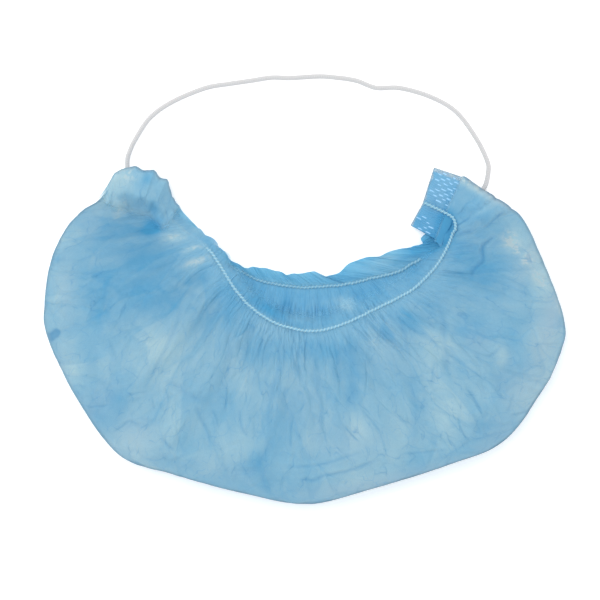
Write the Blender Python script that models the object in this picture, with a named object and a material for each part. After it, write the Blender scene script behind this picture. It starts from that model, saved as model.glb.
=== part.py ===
# Disposable beard cover: a gathered nonwoven pouch with two stitched edge elastics, two welded
# end tabs and one elastic head loop, lying on its back wall with the loop laid flat above it.
# Metres, +X to the right, +Y towards the head loop, +Z up from the surface it lies on.

import math

import bmesh
import bpy
import numpy as np

# Driving sizes
cover_width = 0.240
cover_reach = 0.1555
crown_height = 0.046
fabric_wall = 0.0012
frill_length = 0.011
rim_elastic_diameter = 0.0012
loop_diameter = 0.0021
weld_width = 0.014
weld_length = 0.031
weld_thickness = 0.004
weld_lift = 0.0029
piece_gap = 0.0003

# Depths of the folds
body_swell_depth = 0.0011
body_fold_depth = 0.0030
rim_gather_depth = 0.0006
end_fold_depth = 0.0010
frill_ruffle_depth = 0.0016
weld_rib_depth = 0.0003

# How far the ends reach along the pouch, as shares of its length: where folds and ruffles fade
# out, where the pleats of a tab still show and where a frill turns to lie along its tab
fold_fade_share = 0.18
end_fold_share = 0.10
end_fold_start_share = 0.04
frill_turn_share = 0.06
fold_span_share = 0.15

# How much a frill's end leans out over its tab, and where the rim's gathers lie on the front wall
frill_turn_share_across = 0.1
rim_gather_share = 0.14
rim_gather_half_share = 0.08

# Where the front elastic crosses the right tab, in shares of the weld width, and how many
# columns at each end the back elastic leaves free
elastic_over_tab = (0.35, 0.60, 0.85)
back_elastic_free = 6

# Points this near the surface lie on it
resting_snap = 0.00005

# Counts along the pouch and across a tab
body_swells = 11
frill_ruffles = 22
columns_per_ruffle = 4
weld_ribs = 6
weld_columns = 6
end_folds = 2
elastic_sides = 6
loop_sides = 8

# The swells of the front wall: waves that add up, with their counts in shares of body_swells and
# their drift from the rim to the side fold.
swell_columns = ("weight", "count", "phase", "drift")
swell_rows = (
    (0.6, 1.00, 0.6, 0.0),
    (0.4, 1.55, 0.0, 2.5),
)

# The outline seen from above, from the left tab round the bottom fold to the right tab,
# as shares of the half width and of the half reach.
plan_columns = ("x", "y")
outline_rows = (
    (-0.742, 0.917),
    (-0.768, 0.855),
    (-0.800, 0.792),
    (-0.857, 0.742),
    (-0.921, 0.625),
    (-0.975, 0.440),
    (-1.000, 0.160),
    (-0.993, 0.030),
    (-0.950, -0.144),
    (-0.845, -0.446),
    (-0.702, -0.719),
    (-0.499, -0.825),
    (-0.230, -0.938),
    (0.015, -1.000),
    (0.269, -0.905),
    (0.557, -0.766),
    (0.760, -0.632),
    (0.906, -0.345),
    (0.985, -0.090),
    (1.000, 0.070),
    (0.943, 0.350),
    (0.848, 0.674),
    (0.746, 0.820),
)

# The stitched line of the front edge, from tab to tab, in the same shares.
front_rim_rows = (
    (-0.562, 0.778),
    (-0.520, 0.695),
    (-0.459, 0.617),
    (-0.391, 0.545),
    (-0.345, 0.456),
    (-0.307, 0.364),
    (-0.272, 0.283),
    (-0.211, 0.173),
    (-0.112, 0.073),
    (0.012, 0.025),
    (0.123, 0.051),
    (0.273, 0.155),
    (0.404, 0.259),
    (0.461, 0.332),
    (0.518, 0.434),
    (0.567, 0.580),
    (0.576, 0.645),
)

# The stitched line of the back edge, from tab to tab, in the same shares.
back_rim_rows = (
    (-0.547, 0.740),
    (-0.485, 0.640),
    (-0.400, 0.535),
    (-0.307, 0.437),
    (-0.230, 0.377),
    (-0.154, 0.324),
    (-0.019, 0.292),
    (0.096, 0.298),
    (0.173, 0.310),
    (0.269, 0.348),
    (0.357, 0.381),
    (0.441, 0.455),
    (0.524, 0.540),
    (0.572, 0.640),
)

# Heights of one section after another along the pouch, as shares of the crown height: crown is
# the top of the front wall, rim the front stitched line, edge the side fold, lift the back wall
# above its resting place. The two ends take their heights from the welded tabs.
height_columns = ("share", "crown", "rim", "edge", "lift", "back_rim")
height_rows = (
    (0.05, 0.270, 0.215, 0.150, 0.050, 0.074),
    (0.12, 0.500, 0.345, 0.210, 0.017, 0.070),
    (0.20, 0.770, 0.470, 0.270, 0.000, 0.068),
    (0.36, 0.950, 0.620, 0.310, 0.000, 0.068),
    (0.52, 1.000, 0.680, 0.300, 0.000, 0.068),
    (0.66, 0.960, 0.620, 0.310, 0.000, 0.068),
    (0.80, 0.780, 0.470, 0.270, 0.000, 0.068),
    (0.89, 0.500, 0.330, 0.210, 0.017, 0.070),
    (0.96, 0.260, 0.200, 0.150, 0.050, 0.074),
)

# How each frill lies: its spread across the opening and its rise, as shares of its length, and
# how far it turns from pointing away from the side fold (0) to square with its rim (1).
frill_columns = (
    "share",
    "front_spread",
    "front_rise",
    "front_square",
    "back_spread",
    "back_rise",
    "back_square",
)
frill_rows = (
    (0.00, 0.95, -0.02, 0.0, 0.90, 0.00, 0.0),
    (0.06, 0.70, -0.25, 0.0, 0.80, 0.00, 0.0),
    (0.14, 0.45, -0.60, 0.3, 0.65, 0.15, 0.3),
    (0.24, 0.55, -0.70, 0.4, 0.45, 0.30, 0.5),
    (0.35, 0.80, -0.50, 0.4, 0.55, 0.30, 0.5),
    (0.50, 0.85, -0.45, 0.4, 0.50, 0.35, 0.5),
    (0.60, 0.85, -0.45, 0.4, 0.75, 0.25, 0.5),
    (0.72, 0.85, -0.45, 0.4, 0.92, 0.15, 0.6),
    (0.85, 0.85, -0.45, 0.3, 0.85, 0.15, 0.6),
    (0.93, 0.90, -0.20, 0.0, 0.50, 0.05, 0.2),
    (1.00, 0.95, -0.02, 0.0, 0.90, 0.00, 0.0),
)

# One section from the side fold to the front rim: reach is 1 at the fold and 0 at the rim, and
# the other columns weigh the heights of edge, crown and rim.
front_columns = ("share", "reach", "edge", "crown", "rim")
front_rows = (
    (0.00, 1.000, 1.00, 0.00, 0.00),
    (0.08, 0.980, 0.62, 0.38, 0.00),
    (0.18, 0.915, 0.28, 0.72, 0.00),
    (0.32, 0.760, 0.05, 0.95, 0.00),
    (0.48, 0.560, 0.00, 1.00, 0.00),
    (0.66, 0.340, 0.00, 0.84, 0.16),
    (0.84, 0.140, 0.00, 0.40, 0.60),
    (1.00, 0.000, 0.00, 0.00, 1.00),
)
front_sections = (1.0, 0.91, 0.81, 0.70, 0.58, 0.46, 0.34, 0.24, 0.15, 0.07)

# The same from the side fold back along the surface to the back rim.
back_columns = ("share", "reach", "edge", "floor", "back_rim")
back_rows = (
    (0.00, 1.000, 1.00, 0.00, 0.00),
    (0.06, 0.980, 0.55, 0.45, 0.00),
    (0.14, 0.930, 0.16, 0.84, 0.00),
    (0.24, 0.830, 0.00, 1.00, 0.00),
    (0.80, 0.200, 0.00, 1.00, 0.00),
    (0.90, 0.090, 0.00, 0.70, 0.30),
    (1.00, 0.000, 0.00, 0.00, 1.00),
)
back_sections = (0.05, 0.12, 0.24, 0.43, 0.62, 0.80, 0.90, 1.0)

# The main folds of the front wall: where each starts on the rim, how far it drifts on its way to
# the side fold, its half width, its depth in shares of the fold depth, and the reach it spans.
fold_columns = ("share", "drift", "width", "depth", "near", "far")
fold_rows = (
    (0.080, 0.020, 0.014, 0.9, 0.10, 0.80),
    (0.130, -0.020, 0.013, 0.7, 0.05, 0.60),
    (0.180, 0.000, 0.016, 1.0, 0.20, 0.90),
    (0.235, -0.030, 0.014, 0.8, 0.05, 0.70),
    (0.290, 0.010, 0.015, 1.0, 0.05, 0.95),
    (0.335, -0.010, 0.013, 0.6, 0.30, 0.90),
    (0.385, -0.020, 0.016, 1.0, 0.05, 0.85),
    (0.430, 0.010, 0.013, 0.7, 0.05, 0.60),
    (0.475, -0.010, 0.015, 0.9, 0.25, 0.95),
    (0.515, 0.000, 0.014, 1.0, 0.05, 0.80),
    (0.560, 0.020, 0.014, 0.7, 0.10, 0.60),
    (0.605, 0.010, 0.017, 1.0, 0.05, 0.92),
    (0.655, -0.010, 0.013, 0.6, 0.35, 0.90),
    (0.700, 0.020, 0.015, 0.9, 0.05, 0.75),
    (0.745, 0.000, 0.014, 1.0, 0.05, 0.90),
    (0.800, 0.020, 0.014, 0.8, 0.20, 0.85),
    (0.850, -0.010, 0.013, 0.7, 0.05, 0.60),
    (0.900, 0.010, 0.015, 0.9, 0.10, 0.80),
)

# Where the rows of each frill lie, from its stitched line to its free edge.
front_frill_sections = (1.0, 0.7, 0.35)
back_frill_sections = (0.5, 1.0)

# Each welded tab: where the front elastic crosses its inner line, as shares of the half sizes,
# the direction of that line, its lengths above and below the crossing as shares of the weld
# length, the side of the cut end and how far the tab stands up.
tab_columns = ("x", "y", "line_deg", "above", "below", "side", "stand_deg")
left_tab_row = (-0.5765, 0.843, 157.4, 0.58, 0.26, -1.0, 58.0)
right_tab_row = (0.553, 0.7215, 64.2, 0.58, 0.42, 1.0, 0.0)
tab_bend_length = 0.005

# The cut end of a tab, from its lower corner to its upper: along in shares of the length below
# or above the crossing, across in shares of the weld width.
cut_end_columns = ("along", "across")
cut_end_rows = ((-0.93, 0.95), (-0.07, 0.90), (0.87, 1.08))

# The head loop seen from above, from the left tab to the right, as shares of the half sizes.
# Its route is chosen by hand.
loop_rows = (
    (-0.600, 0.830),
    (-0.642, 0.868),
    (-0.671, 0.930),
    (-0.681, 0.997),
    (-0.681, 1.056),
    (-0.673, 1.098),
    (-0.650, 1.166),
    (-0.592, 1.290),
    (-0.508, 1.382),
    (-0.381, 1.462),
    (-0.290, 1.488),
    (-0.209, 1.506),
    (-0.125, 1.526),
    (-0.056, 1.523),
    (0.040, 1.532),
    (0.098, 1.529),
    (0.194, 1.509),
    (0.274, 1.464),
    (0.366, 1.461),
    (0.481, 1.411),
    (0.577, 1.322),
    (0.653, 1.175),
    (0.698, 1.044),
    (0.705, 0.979),
    (0.692, 0.885),
    (0.650, 0.815),
    (0.590, 0.775),
    (0.530, 0.760),
)
loop_points = 56

# Colours and surfaces
fabric_blue = (0.18, 0.45, 0.68, 1.0)
weld_blue = (0.15, 0.40, 0.66, 1.0)
elastic_white = (0.86, 0.88, 0.88, 1.0)

half_width = (cover_width - fabric_wall) / 2
half_reach = (cover_reach - fabric_wall) / 2
columns_along = frill_ruffles * columns_per_ruffle + 1


def clear_scene():
    for old in list(bpy.data.objects):
        bpy.data.objects.remove(old)


def material(name, colour, roughness):
    made = bpy.data.materials.new(name)
    made.use_nodes = True
    shader = made.node_tree.nodes["Principled BSDF"]
    shader.inputs["Base Color"].default_value = colour
    shader.inputs["Roughness"].default_value = roughness
    shader.inputs["Metallic"].default_value = 0.0
    return made


# A smooth curve through a few points, read at shares of its length
def along_curve(points, shares, steps=24):
    points = np.asarray(points, float)
    padded = np.vstack([2 * points[0] - points[1], points, 2 * points[-1] - points[-2]])
    t = np.linspace(0, 1, steps, endpoint=False)[:, None]
    runs = []
    for a, b, c, d in zip(padded, padded[1:], padded[2:], padded[3:]):
        cubic = (3 * (b - c) + d - a) * t**3 + (2 * a - 5 * b + 4 * c - d) * t**2
        runs.append(b + 0.5 * (cubic + (c - a) * t))
    line = np.vstack(runs + [points[-1:]])
    length = np.concatenate([[0], np.cumsum(np.linalg.norm(np.diff(line, axis=0), axis=1))])
    at = np.asarray(shares) * length[-1]
    return np.stack([np.interp(at, length, line[:, k]) for k in range(line.shape[1])], axis=-1)


# A table's column read at any share, rising and falling smoothly without overshoot
def read_column(columns, rows, name, shares):
    table = np.array(rows)
    x, y = table[:, 0], table[:, columns.index(name)]
    slope = np.diff(y) / np.diff(x)
    product = slope[:-1] * slope[1:]
    total = np.where(product > 0, slope[:-1] + slope[1:], 1)
    tangent = np.concatenate([[0], np.where(product > 0, 2 * product / total, 0), [0]])
    i = np.clip(np.searchsorted(x, shares, side="right") - 1, 0, len(x) - 2)
    step = x[i + 1] - x[i]
    t = (np.asarray(shares) - x[i]) / step
    start = (1 + 2 * t) * (1 - t) ** 2 * y[i] + t * (1 - t) ** 2 * step * tangent[i]
    return start + t**2 * (3 - 2 * t) * y[i + 1] + t**2 * (t - 1) * step * tangent[i + 1]


def smooth_step(x):
    x = np.clip(x, 0, 1)
    return x * x * (3 - 2 * x)


def unit(vectors):
    return vectors / np.linalg.norm(vectors, axis=-1, keepdims=True)


def flat_point(x, y, z=0.0):
    return np.array([x * half_width, y * half_reach, z])


def plan_points(rows, z=0.0):
    return [flat_point(z=z, **dict(zip(plan_columns, row))) for row in rows]


# The tab's row by name, with its crossing point and its directions along and across
def tab_frame(row):
    tab = dict(zip(tab_columns, row))
    turn = math.radians(tab["line_deg"])
    tab["above"] *= weld_length
    tab["below"] *= weld_length
    tab["centre"] = flat_point(tab["x"], tab["y"])
    tab["along"] = np.array([math.cos(turn), math.sin(turn), 0.0])
    tab["across"] = tab["side"] * np.array([-math.sin(turn), math.cos(turn), 0.0])
    return tab


left_tab = tab_frame(left_tab_row)
right_tab = tab_frame(right_tab_row)


# A line of the table run from one tab to the other
def line_between(rows, shares, at_fold=False):
    ends = [tab["centre"] + at_fold * tab["above"] * tab["along"] for tab in (left_tab, right_tab)]
    return along_curve([ends[0]] + plan_points(rows) + [ends[1]], shares)


# The heights at any share, in metres
def heights_along(shares):
    top = weld_lift + weld_thickness - fabric_wall / 2
    bottom = weld_lift + fabric_wall / 2
    middle = (top + bottom) / 2
    rest = fabric_wall / 2
    rows = [(0.0, top, top, middle, bottom - rest, bottom)]
    rows += [(row[0],) + tuple(crown_height * value for value in row[1:]) for row in height_rows]
    rows += [(1.0,) + rows[0][1:]]
    found = {name: read_column(height_columns, rows, name, shares) for name in height_columns[1:]}
    found["floor"] = found["lift"] + rest
    return found


# The middle of the fabric as a grid: one row of points for each line along the pouch, from the
# free edge of the front frill over the front wall, round the side fold and along the back wall
def pouch_middle():
    share = np.linspace(0, 1, columns_along)
    fold = line_between(outline_rows, share, at_fold=True)
    front = line_between(front_rim_rows, share)
    back = line_between(back_rim_rows, share)
    height = heights_along(share)
    front[:, 2], back[:, 2] = height["rim"], height["back_rim"]
    to_end = np.minimum(share, 1 - share)
    inside = smooth_step(to_end / fold_fade_share)
    near_ends = np.exp(-((to_end / end_fold_share) ** 2)) * smooth_step(to_end / end_fold_start_share)
    up = np.array([0.0, 0.0, 1.0])

    def frill(rim, side, at):
        away = (rim - fold) * (1, 1, 0)
        tangent = np.gradient(rim, axis=0) * (1, 1, 0)
        square = np.cross(up, tangent)
        turn = read_column(frill_columns, frill_rows, side + "_square", share)[:, None]
        outward = (1 - turn) * unit(away) + turn * unit(square)
        for tab, distance in ((left_tab, share), (right_tab, 1 - share)):
            near = np.exp(-((distance / frill_turn_share) ** 2))[:, None]
            leaving = tab["along"] + frill_turn_share_across * tab["across"]
            outward = (1 - near) * outward - near * leaving
        outward = unit(outward)
        spread = read_column(frill_columns, frill_rows, side + "_spread", share)[:, None]
        rise = read_column(frill_columns, frill_rows, side + "_rise", share)[:, None]
        wave = np.cos(2 * math.pi * frill_ruffles * share) * inside * frill_ruffle_depth * at
        across = spread * up - rise * outward
        reach = frill_length * at * (spread * outward + rise * up)
        return rim + reach + unit(across) * wave[:, None]

    def swells(at):
        waves = [dict(zip(swell_columns, row)) for row in swell_rows]
        turns = [2 * math.pi * body_swells * wave["count"] * share for wave in waves]
        shifts = [wave["phase"] + wave["drift"] * at for wave in waves]
        return sum(
            wave["weight"] * np.cos(turn + shift) for wave, turn, shift in zip(waves, turns, shifts)
        )

    def front_folds(reach):
        depth = np.zeros_like(share)
        for row in fold_rows:
            fold_row = dict(zip(fold_columns, row))
            span = smooth_step((reach - fold_row["near"]) / fold_span_share + 0.5)
            span *= smooth_step((fold_row["far"] - reach) / fold_span_share + 0.5)
            away = (share - fold_row["share"] - fold_row["drift"] * reach) / fold_row["width"]
            depth += fold_row["depth"] * span * np.exp(-(away**2))
        return depth

    def front_wall(at):
        weigh = {name: read_column(front_columns, front_rows, name, at) for name in front_columns[1:]}
        reach = weigh["reach"]
        line = front + (fold - front) * reach
        middle = math.sin(math.pi * reach)
        near_rim = math.exp(-(((reach - rim_gather_share) / rim_gather_half_share) ** 2))
        gather = np.cos(2 * math.pi * frill_ruffles * share) * near_rim
        end_wave = math.sin(2 * math.pi * end_folds * reach) * near_ends
        line[:, 2] = sum(height[name] * weigh[name] for name in ("edge", "crown", "rim"))
        line[:, 2] += middle * inside * body_swell_depth * swells(at)
        line[:, 2] -= smooth_step(4 * middle) * inside * body_fold_depth * front_folds(reach)
        line[:, 2] += (reach > 0) * inside * rim_gather_depth * gather
        line[:, 2] += end_fold_depth * end_wave
        return line

    def back_wall(at):
        weigh = {name: read_column(back_columns, back_rows, name, at) for name in back_columns[1:]}
        line = back + (fold - back) * weigh["reach"]
        line[:, 2] = sum(height[name] * weigh[name] for name in ("edge", "floor", "back_rim"))
        return line

    rows = [frill(front, "front", at) for at in front_frill_sections]
    rows += [front_wall(at) for at in front_sections]
    rows += [fold * (1, 1, 0) + height["edge"][:, None] * up]
    rows += [back_wall(at) for at in back_sections]
    rows += [frill(back, "back", at) for at in back_frill_sections]
    return np.array(rows)


# The way out of the pouch at each point of the grid, with both cut ends kept square to their tabs
def grid_normals(grid):
    normals = unit(np.cross(np.gradient(grid, axis=0), np.gradient(grid, axis=1)))
    for column, tab in ((0, left_tab), (-1, right_tab)):
        tilt = normals[:, column] @ tab["across"]
        normals[:, column] = unit(normals[:, column] - tilt[:, None] * tab["across"])
    return normals


# One closed body between two grids of the same size
def closed_slab(name, outer, inner, skin):
    rows, columns = outer.shape[:2]
    index = np.arange(rows * columns).reshape(rows, columns)
    quads = np.stack([index[:-1, :-1], index[1:, :-1], index[1:, 1:], index[:-1, 1:]], axis=-1)
    quads = quads.reshape(-1, 4)
    rim = np.concatenate([index[0, :-1], index[:-1, -1], index[-1, :0:-1], index[:0:-1, 0]])
    following = np.roll(rim, -1)
    below = rows * columns
    sides = np.stack([rim, following, following + below, rim + below], axis=-1)
    faces = np.concatenate([quads, quads[:, ::-1] + below, sides])
    points = np.concatenate([outer.reshape(-1, 3), inner.reshape(-1, 3)])
    mesh = bpy.data.meshes.new(name)
    mesh.from_pydata(points.tolist(), [], faces.tolist())
    shape = bmesh.new()
    shape.from_mesh(mesh)
    bmesh.ops.recalc_face_normals(shape, faces=shape.faces)
    shape.to_mesh(mesh)
    shape.free()
    mesh.shade_smooth()
    mesh.materials.append(skin)
    made = bpy.data.objects.new(name, mesh)
    bpy.context.scene.collection.objects.link(made)
    return made


# A round cord or elastic along a path
def cord(name, path, diameter, sides, skin):
    curve = bpy.data.curves.new(name, "CURVE")
    curve.dimensions = "3D"
    spline = curve.splines.new("POLY")
    spline.points.add(len(path) - 1)
    for point, place in zip(spline.points, path):
        point.co = (*place, 1.0)
    curve.bevel_depth = diameter / 2
    curve.bevel_resolution = (sides - 4) // 2
    curve.use_fill_caps = True
    curve.materials.append(skin)
    made = bpy.data.objects.new(name, curve)
    bpy.context.scene.collection.objects.link(made)
    return made


# The pleated slab of a tab: it leaves its inner line level and bends up to its standing angle
def weld_tab(name, tab, skin):
    above, below = tab["above"], tab["below"]
    step = np.linspace(0, 1, weld_ribs * 3 + 1)
    cut_end = {name: np.array(column) for name, column in zip(cut_end_columns, zip(*cut_end_rows))}
    lengths = np.where(cut_end["along"] < 0, below, above) * cut_end["along"]
    corner = (lengths + below) / (above + below)
    corner = (corner - corner[0]) / (corner[-1] - corner[0])
    cut_along = np.interp(step, corner, lengths)
    cut_across = np.interp(step, corner, cut_end["across"] * weld_width)
    inner_along = -below + (above + below) * step
    part = np.linspace(0, 1, weld_columns)
    along = inner_along[:, None] + (cut_along - inner_along)[:, None] * part
    across = piece_gap + (cut_across - piece_gap)[:, None] * part
    run = np.linspace(0, cut_across.max(), 40 * weld_columns)
    angle = math.radians(tab["stand_deg"]) * smooth_step(run / tab_bend_length)
    level = np.interp(across, run, np.cumsum(np.cos(angle)) * (run[1] - run[0]))
    raised = np.interp(across, run, np.cumsum(np.sin(angle)) * (run[1] - run[0]))
    turn = np.interp(across, run, angle)
    up = np.array([0.0, 0.0, 1.0])
    middle = tab["centre"] + along[..., None] * tab["along"] + level[..., None] * tab["across"]
    middle = middle + (weld_lift + weld_thickness / 2 + raised)[..., None] * up
    outward = np.cos(turn)[..., None] * up - np.sin(turn)[..., None] * tab["across"]
    rib = weld_rib_depth * np.cos(2 * math.pi * weld_ribs * step)[:, None, None]
    half = weld_thickness / 2 - weld_rib_depth
    return closed_slab(name, middle + outward * (half + rib), middle - outward * (half - rib), skin)


# Moves everything so that the box of the given parts is centred on the origin, on the surface
def centre_on(parts):
    places = np.array([corner.co for part in parts for corner in part.data.vertices])
    middle = (places.min(axis=0) + places.max(axis=0)) / 2
    for made in bpy.context.scene.objects:
        made.location = (-middle[0], -middle[1], 0.0)


def build():
    clear_scene()
    fabric = material("nonwoven_fabric", fabric_blue, 0.75)
    weld = material("welded_fabric", weld_blue, 0.6)
    elastic = material("white_elastic", elastic_white, 0.7)

    middle = pouch_middle()
    outward = grid_normals(middle)
    outer = middle + outward * fabric_wall / 2
    outer[..., 2] = np.where(outer[..., 2] < resting_snap, 0.0, outer[..., 2])
    shell = closed_slab("cover_shell", outer, middle - outward * fabric_wall / 2, fabric)

    clear = fabric_wall / 2 + piece_gap + rim_elastic_diameter / 2
    front_row = len(front_frill_sections)
    back_row = front_row + len(front_sections) + len(back_sections)
    front_path = (middle[front_row] + outward[front_row] * clear)[::2]
    back_path = (middle[back_row] - outward[back_row] * clear)[back_elastic_free:-back_elastic_free:2]
    across = np.array(elastic_over_tab)[:, None] * weld_width * right_tab["across"]
    over_tab = right_tab["centre"] + across
    over_tab[:, 2] = weld_lift + weld_thickness + piece_gap + rim_elastic_diameter / 2
    front_path = np.vstack([front_path, over_tab])
    cord("front_edge_elastic", front_path, rim_elastic_diameter, elastic_sides, elastic)
    cord("back_edge_elastic", back_path, rim_elastic_diameter, elastic_sides, elastic)

    tabs = [weld_tab("left_weld_tab", left_tab, weld), weld_tab("right_weld_tab", right_tab, weld)]

    route = plan_points(loop_rows, z=loop_diameter / 2)
    loop_path = along_curve(route, np.linspace(0, 1, loop_points))
    cord("head_loop", loop_path, loop_diameter, loop_sides, elastic)
    centre_on([shell] + tabs)


build()
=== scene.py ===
# A disposable beard cover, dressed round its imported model: a gathered pouch of thin blue
# nonwoven, elastics stitched along both edges, welded ends and a knitted head loop.
# Metres, in the frame's axes: +X right, +Y towards the head loop, +Z up. The head loop's route
# and the rows of creases, patches and edges read off the photograph are in millimetres.

import math
from types import SimpleNamespace

import bmesh
import bpy
import numpy as np
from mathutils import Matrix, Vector


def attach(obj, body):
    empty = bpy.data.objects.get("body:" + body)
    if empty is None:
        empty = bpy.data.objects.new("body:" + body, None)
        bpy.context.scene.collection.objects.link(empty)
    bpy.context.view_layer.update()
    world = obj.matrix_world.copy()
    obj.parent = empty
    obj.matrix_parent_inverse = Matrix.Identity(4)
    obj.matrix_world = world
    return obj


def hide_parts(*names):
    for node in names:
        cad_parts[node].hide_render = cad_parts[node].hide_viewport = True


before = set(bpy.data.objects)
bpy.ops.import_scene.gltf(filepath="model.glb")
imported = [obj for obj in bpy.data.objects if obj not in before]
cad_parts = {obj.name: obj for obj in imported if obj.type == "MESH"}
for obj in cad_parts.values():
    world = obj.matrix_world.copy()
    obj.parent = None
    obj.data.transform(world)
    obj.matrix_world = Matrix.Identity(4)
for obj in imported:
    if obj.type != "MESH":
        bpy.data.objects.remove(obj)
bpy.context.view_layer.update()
up = np.array([0.0, 0.0, 1.0])
level = np.array([1.0, 1.0, 0.0])
millimetre = 0.001
print("frame loaded:", len(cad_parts), "nodes")


# Curves, columns and noise


# The distance of each point of a path from its first one, along the path
def lengthAlong(path):
    return np.concatenate([[0], np.cumsum(np.linalg.norm(np.diff(path, axis=0), axis=1))])


# A smooth curve through a few points (Catmull-Rom), read at shares of its length
def alongCurve(points, shares, steps=24):
    points = np.asarray(points, float)
    padded = np.vstack([2 * points[0] - points[1], points, 2 * points[-1] - points[-2]])
    t = np.linspace(0, 1, steps, endpoint=False)[:, None]
    runs = []
    for a, b, c, d in zip(padded, padded[1:], padded[2:], padded[3:]):
        cubic = (3 * (b - c) + d - a) * t**3 + (2 * a - 5 * b + 4 * c - d) * t**2
        runs.append(b + 0.5 * (cubic + (c - a) * t))
    line = np.vstack(runs + [points[-1:]])
    length = lengthAlong(line)
    at = np.asarray(shares) * length[-1]
    return np.stack([np.interp(at, length, line[:, k]) for k in range(line.shape[1])], axis=-1)


# A column of rows read at any share: a cubic whose slopes are the harmonic means of its
# neighbours' slopes, so that it neither overshoots nor waves
def readColumn(x, y, shares):
    slope = np.diff(y) / np.diff(x)
    product = slope[:-1] * slope[1:]
    total = np.where(product > 0, slope[:-1] + slope[1:], 1)
    tangent = np.concatenate([[0], np.where(product > 0, 2 * product / total, 0), [0]])
    i = np.clip(np.searchsorted(x, shares, side="right") - 1, 0, len(x) - 2)
    step = x[i + 1] - x[i]
    t = (np.asarray(shares) - x[i]) / step
    start = (1 + 2 * t) * (1 - t) ** 2 * y[i] + t * (1 - t) ** 2 * step * tangent[i]
    return start + t**2 * (3 - 2 * t) * y[i + 1] + t**2 * (t - 1) * step * tangent[i + 1]


# Every column of a table at the same shares, by name; its first column is the share
def readTable(columns, rows, shares):
    table = np.array(rows)
    return {
        name: readColumn(table[:, 0], table[:, k], shares) for k, name in enumerate(columns) if k
    }


# A table's rows as dictionaries by the names of its columns
def named(columns, rows):
    return [dict(zip(columns, row)) for row in rows]


# 3x^2 - 2x^3 from 0 to 1, and level outside
def smoothStep(x):
    x = np.clip(x, 0, 1)
    return x * x * (3 - 2 * x)


# 0 up to start, 1 from a run further on, and smooth between them
def rising(x, start, run):
    return smoothStep((x - start) / run)


# exp(-x^2)
def bell(x):
    return np.exp(-(x**2))


# Each vector divided by its length
def unit(vectors):
    return vectors / np.linalg.norm(vectors, axis=-1, keepdims=True)


# Places seen from axes that are turned: x cos(a) + y sin(a), and y cos(a) - x sin(a)
def turned(x, y, degrees):
    turn = math.radians(degrees)
    return x * math.cos(turn) + y * math.sin(turn), y * math.cos(turn) - x * math.sin(turn)


# The unit square that each place lies in, and the place within it
def unitSquares(x, y):
    x, y = np.broadcast_arrays(np.asarray(x, float), np.asarray(y, float))
    column, row = np.floor(x).astype(int), np.floor(y).astype(int)
    return column, row, x - column, y - row


# Gradient noise from -1 to 1: at each corner of the unit grid a random slope, the four slopes'
# heights blended by 6t^5 - 15t^4 + 10t^3
def noise(x, y, seed):
    turns = np.random.default_rng(seed).uniform(0, 2 * math.pi, (256, 256))
    column, row, dx, dy = unitSquares(x, y)

    def corner(i, j):
        turn = turns[(column + i) % 256, (row + j) % 256]
        return np.cos(turn) * (dx - i) + np.sin(turn) * (dy - j)

    fadeX = dx**3 * (dx * (6 * dx - 15) + 10)
    fadeY = dy**3 * (dy * (6 * dy - 15) + 10)
    low = corner(0, 0) + fadeX * (corner(1, 0) - corner(0, 0))
    high = corner(0, 1) + fadeX * (corner(1, 1) - corner(0, 1))
    return 1.5 * (low + fadeY * (high - low))


# Crumpled cells: random points, one for each unit square. The first result is how much nearer the
# nearest point is than the second nearest, 0 on the lines between two cells and up to 1 inside
# one; the second is a random number that is the same all over a cell.
def cells(x, y, seed):
    places = np.random.default_rng(seed).uniform(0, 1, (3, 256, 256))
    column, row, dx, dy = unitSquares(x, y)
    near = np.full(dx.shape, 9.0)
    second = np.full(dx.shape, 9.0)
    own = np.zeros(dx.shape)
    for i in (-1, 0, 1):
        for j in (-1, 0, 1):
            px, py, value = places[:, (column + i) % 256, (row + j) % 256]
            away = np.hypot(i + px - dx, j + py - dy)
            second = np.minimum(second, np.maximum(near, away))
            own = np.where(away < near, value, own)
            near = np.minimum(near, away)
    return second - near, own


# Meshes


# A mesh from whole arrays: faces of equal size, values and a flat map by point, own normals
def addMesh(name, points, faces, material, attributes={}, uv=None, normals=None):
    mesh = bpy.data.meshes.new(name)
    faces = np.asarray(faces)
    starts = np.arange(0, faces.size, faces.shape[1], dtype=np.int32)
    mesh.vertices.add(len(points))
    mesh.vertices.foreach_set("co", np.asarray(points, np.float32).ravel())
    mesh.loops.add(faces.size)
    mesh.loops.foreach_set("vertex_index", faces.ravel().astype(np.int32))
    mesh.polygons.add(len(faces))
    mesh.polygons.foreach_set("loop_start", starts)
    mesh.update(calc_edges=True)
    mesh.validate()
    mesh.shade_smooth()
    for label, values in attributes.items():
        layer = mesh.attributes.new(label, "FLOAT", "POINT")
        layer.data.foreach_set("value", np.asarray(values, np.float32).ravel())
    if uv is not None:
        layer = mesh.uv_layers.new(name="flat")
        layer.data.foreach_set("uv", np.asarray(uv, np.float32)[faces.ravel()].ravel())
    if normals is not None:
        mesh.normals_split_custom_set_from_vertices(normals.reshape(-1, 3).tolist())
    mesh.materials.append(material)
    made = bpy.data.objects.new(name, mesh)
    bpy.context.scene.collection.objects.link(made)
    return made


# Quads between the neighbours of a grid, each row joined to the next
def gridFaces(rows, columns, closed=False):
    index = np.arange(rows * columns).reshape(rows, columns)
    if closed:
        index = np.concatenate([index, index[:, :1]], axis=1)
    quads = np.stack([index[:-1, :-1], index[1:, :-1], index[1:, 1:], index[:-1, 1:]], axis=-1)
    return quads.reshape(-1, 4)


# A grid's normals: the cross product of its steps down the rows and across the columns
def gridNormals(points):
    return unit(np.cross(np.gradient(points, axis=0), np.gradient(points, axis=1)))


# The two directions square to a path: 'side' is level, and 'lift' is square to side and path
def squareTo(path):
    along = unit(np.gradient(path, axis=0))
    side = unit(np.cross(along, up))
    return side, np.cross(side, along)


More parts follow.
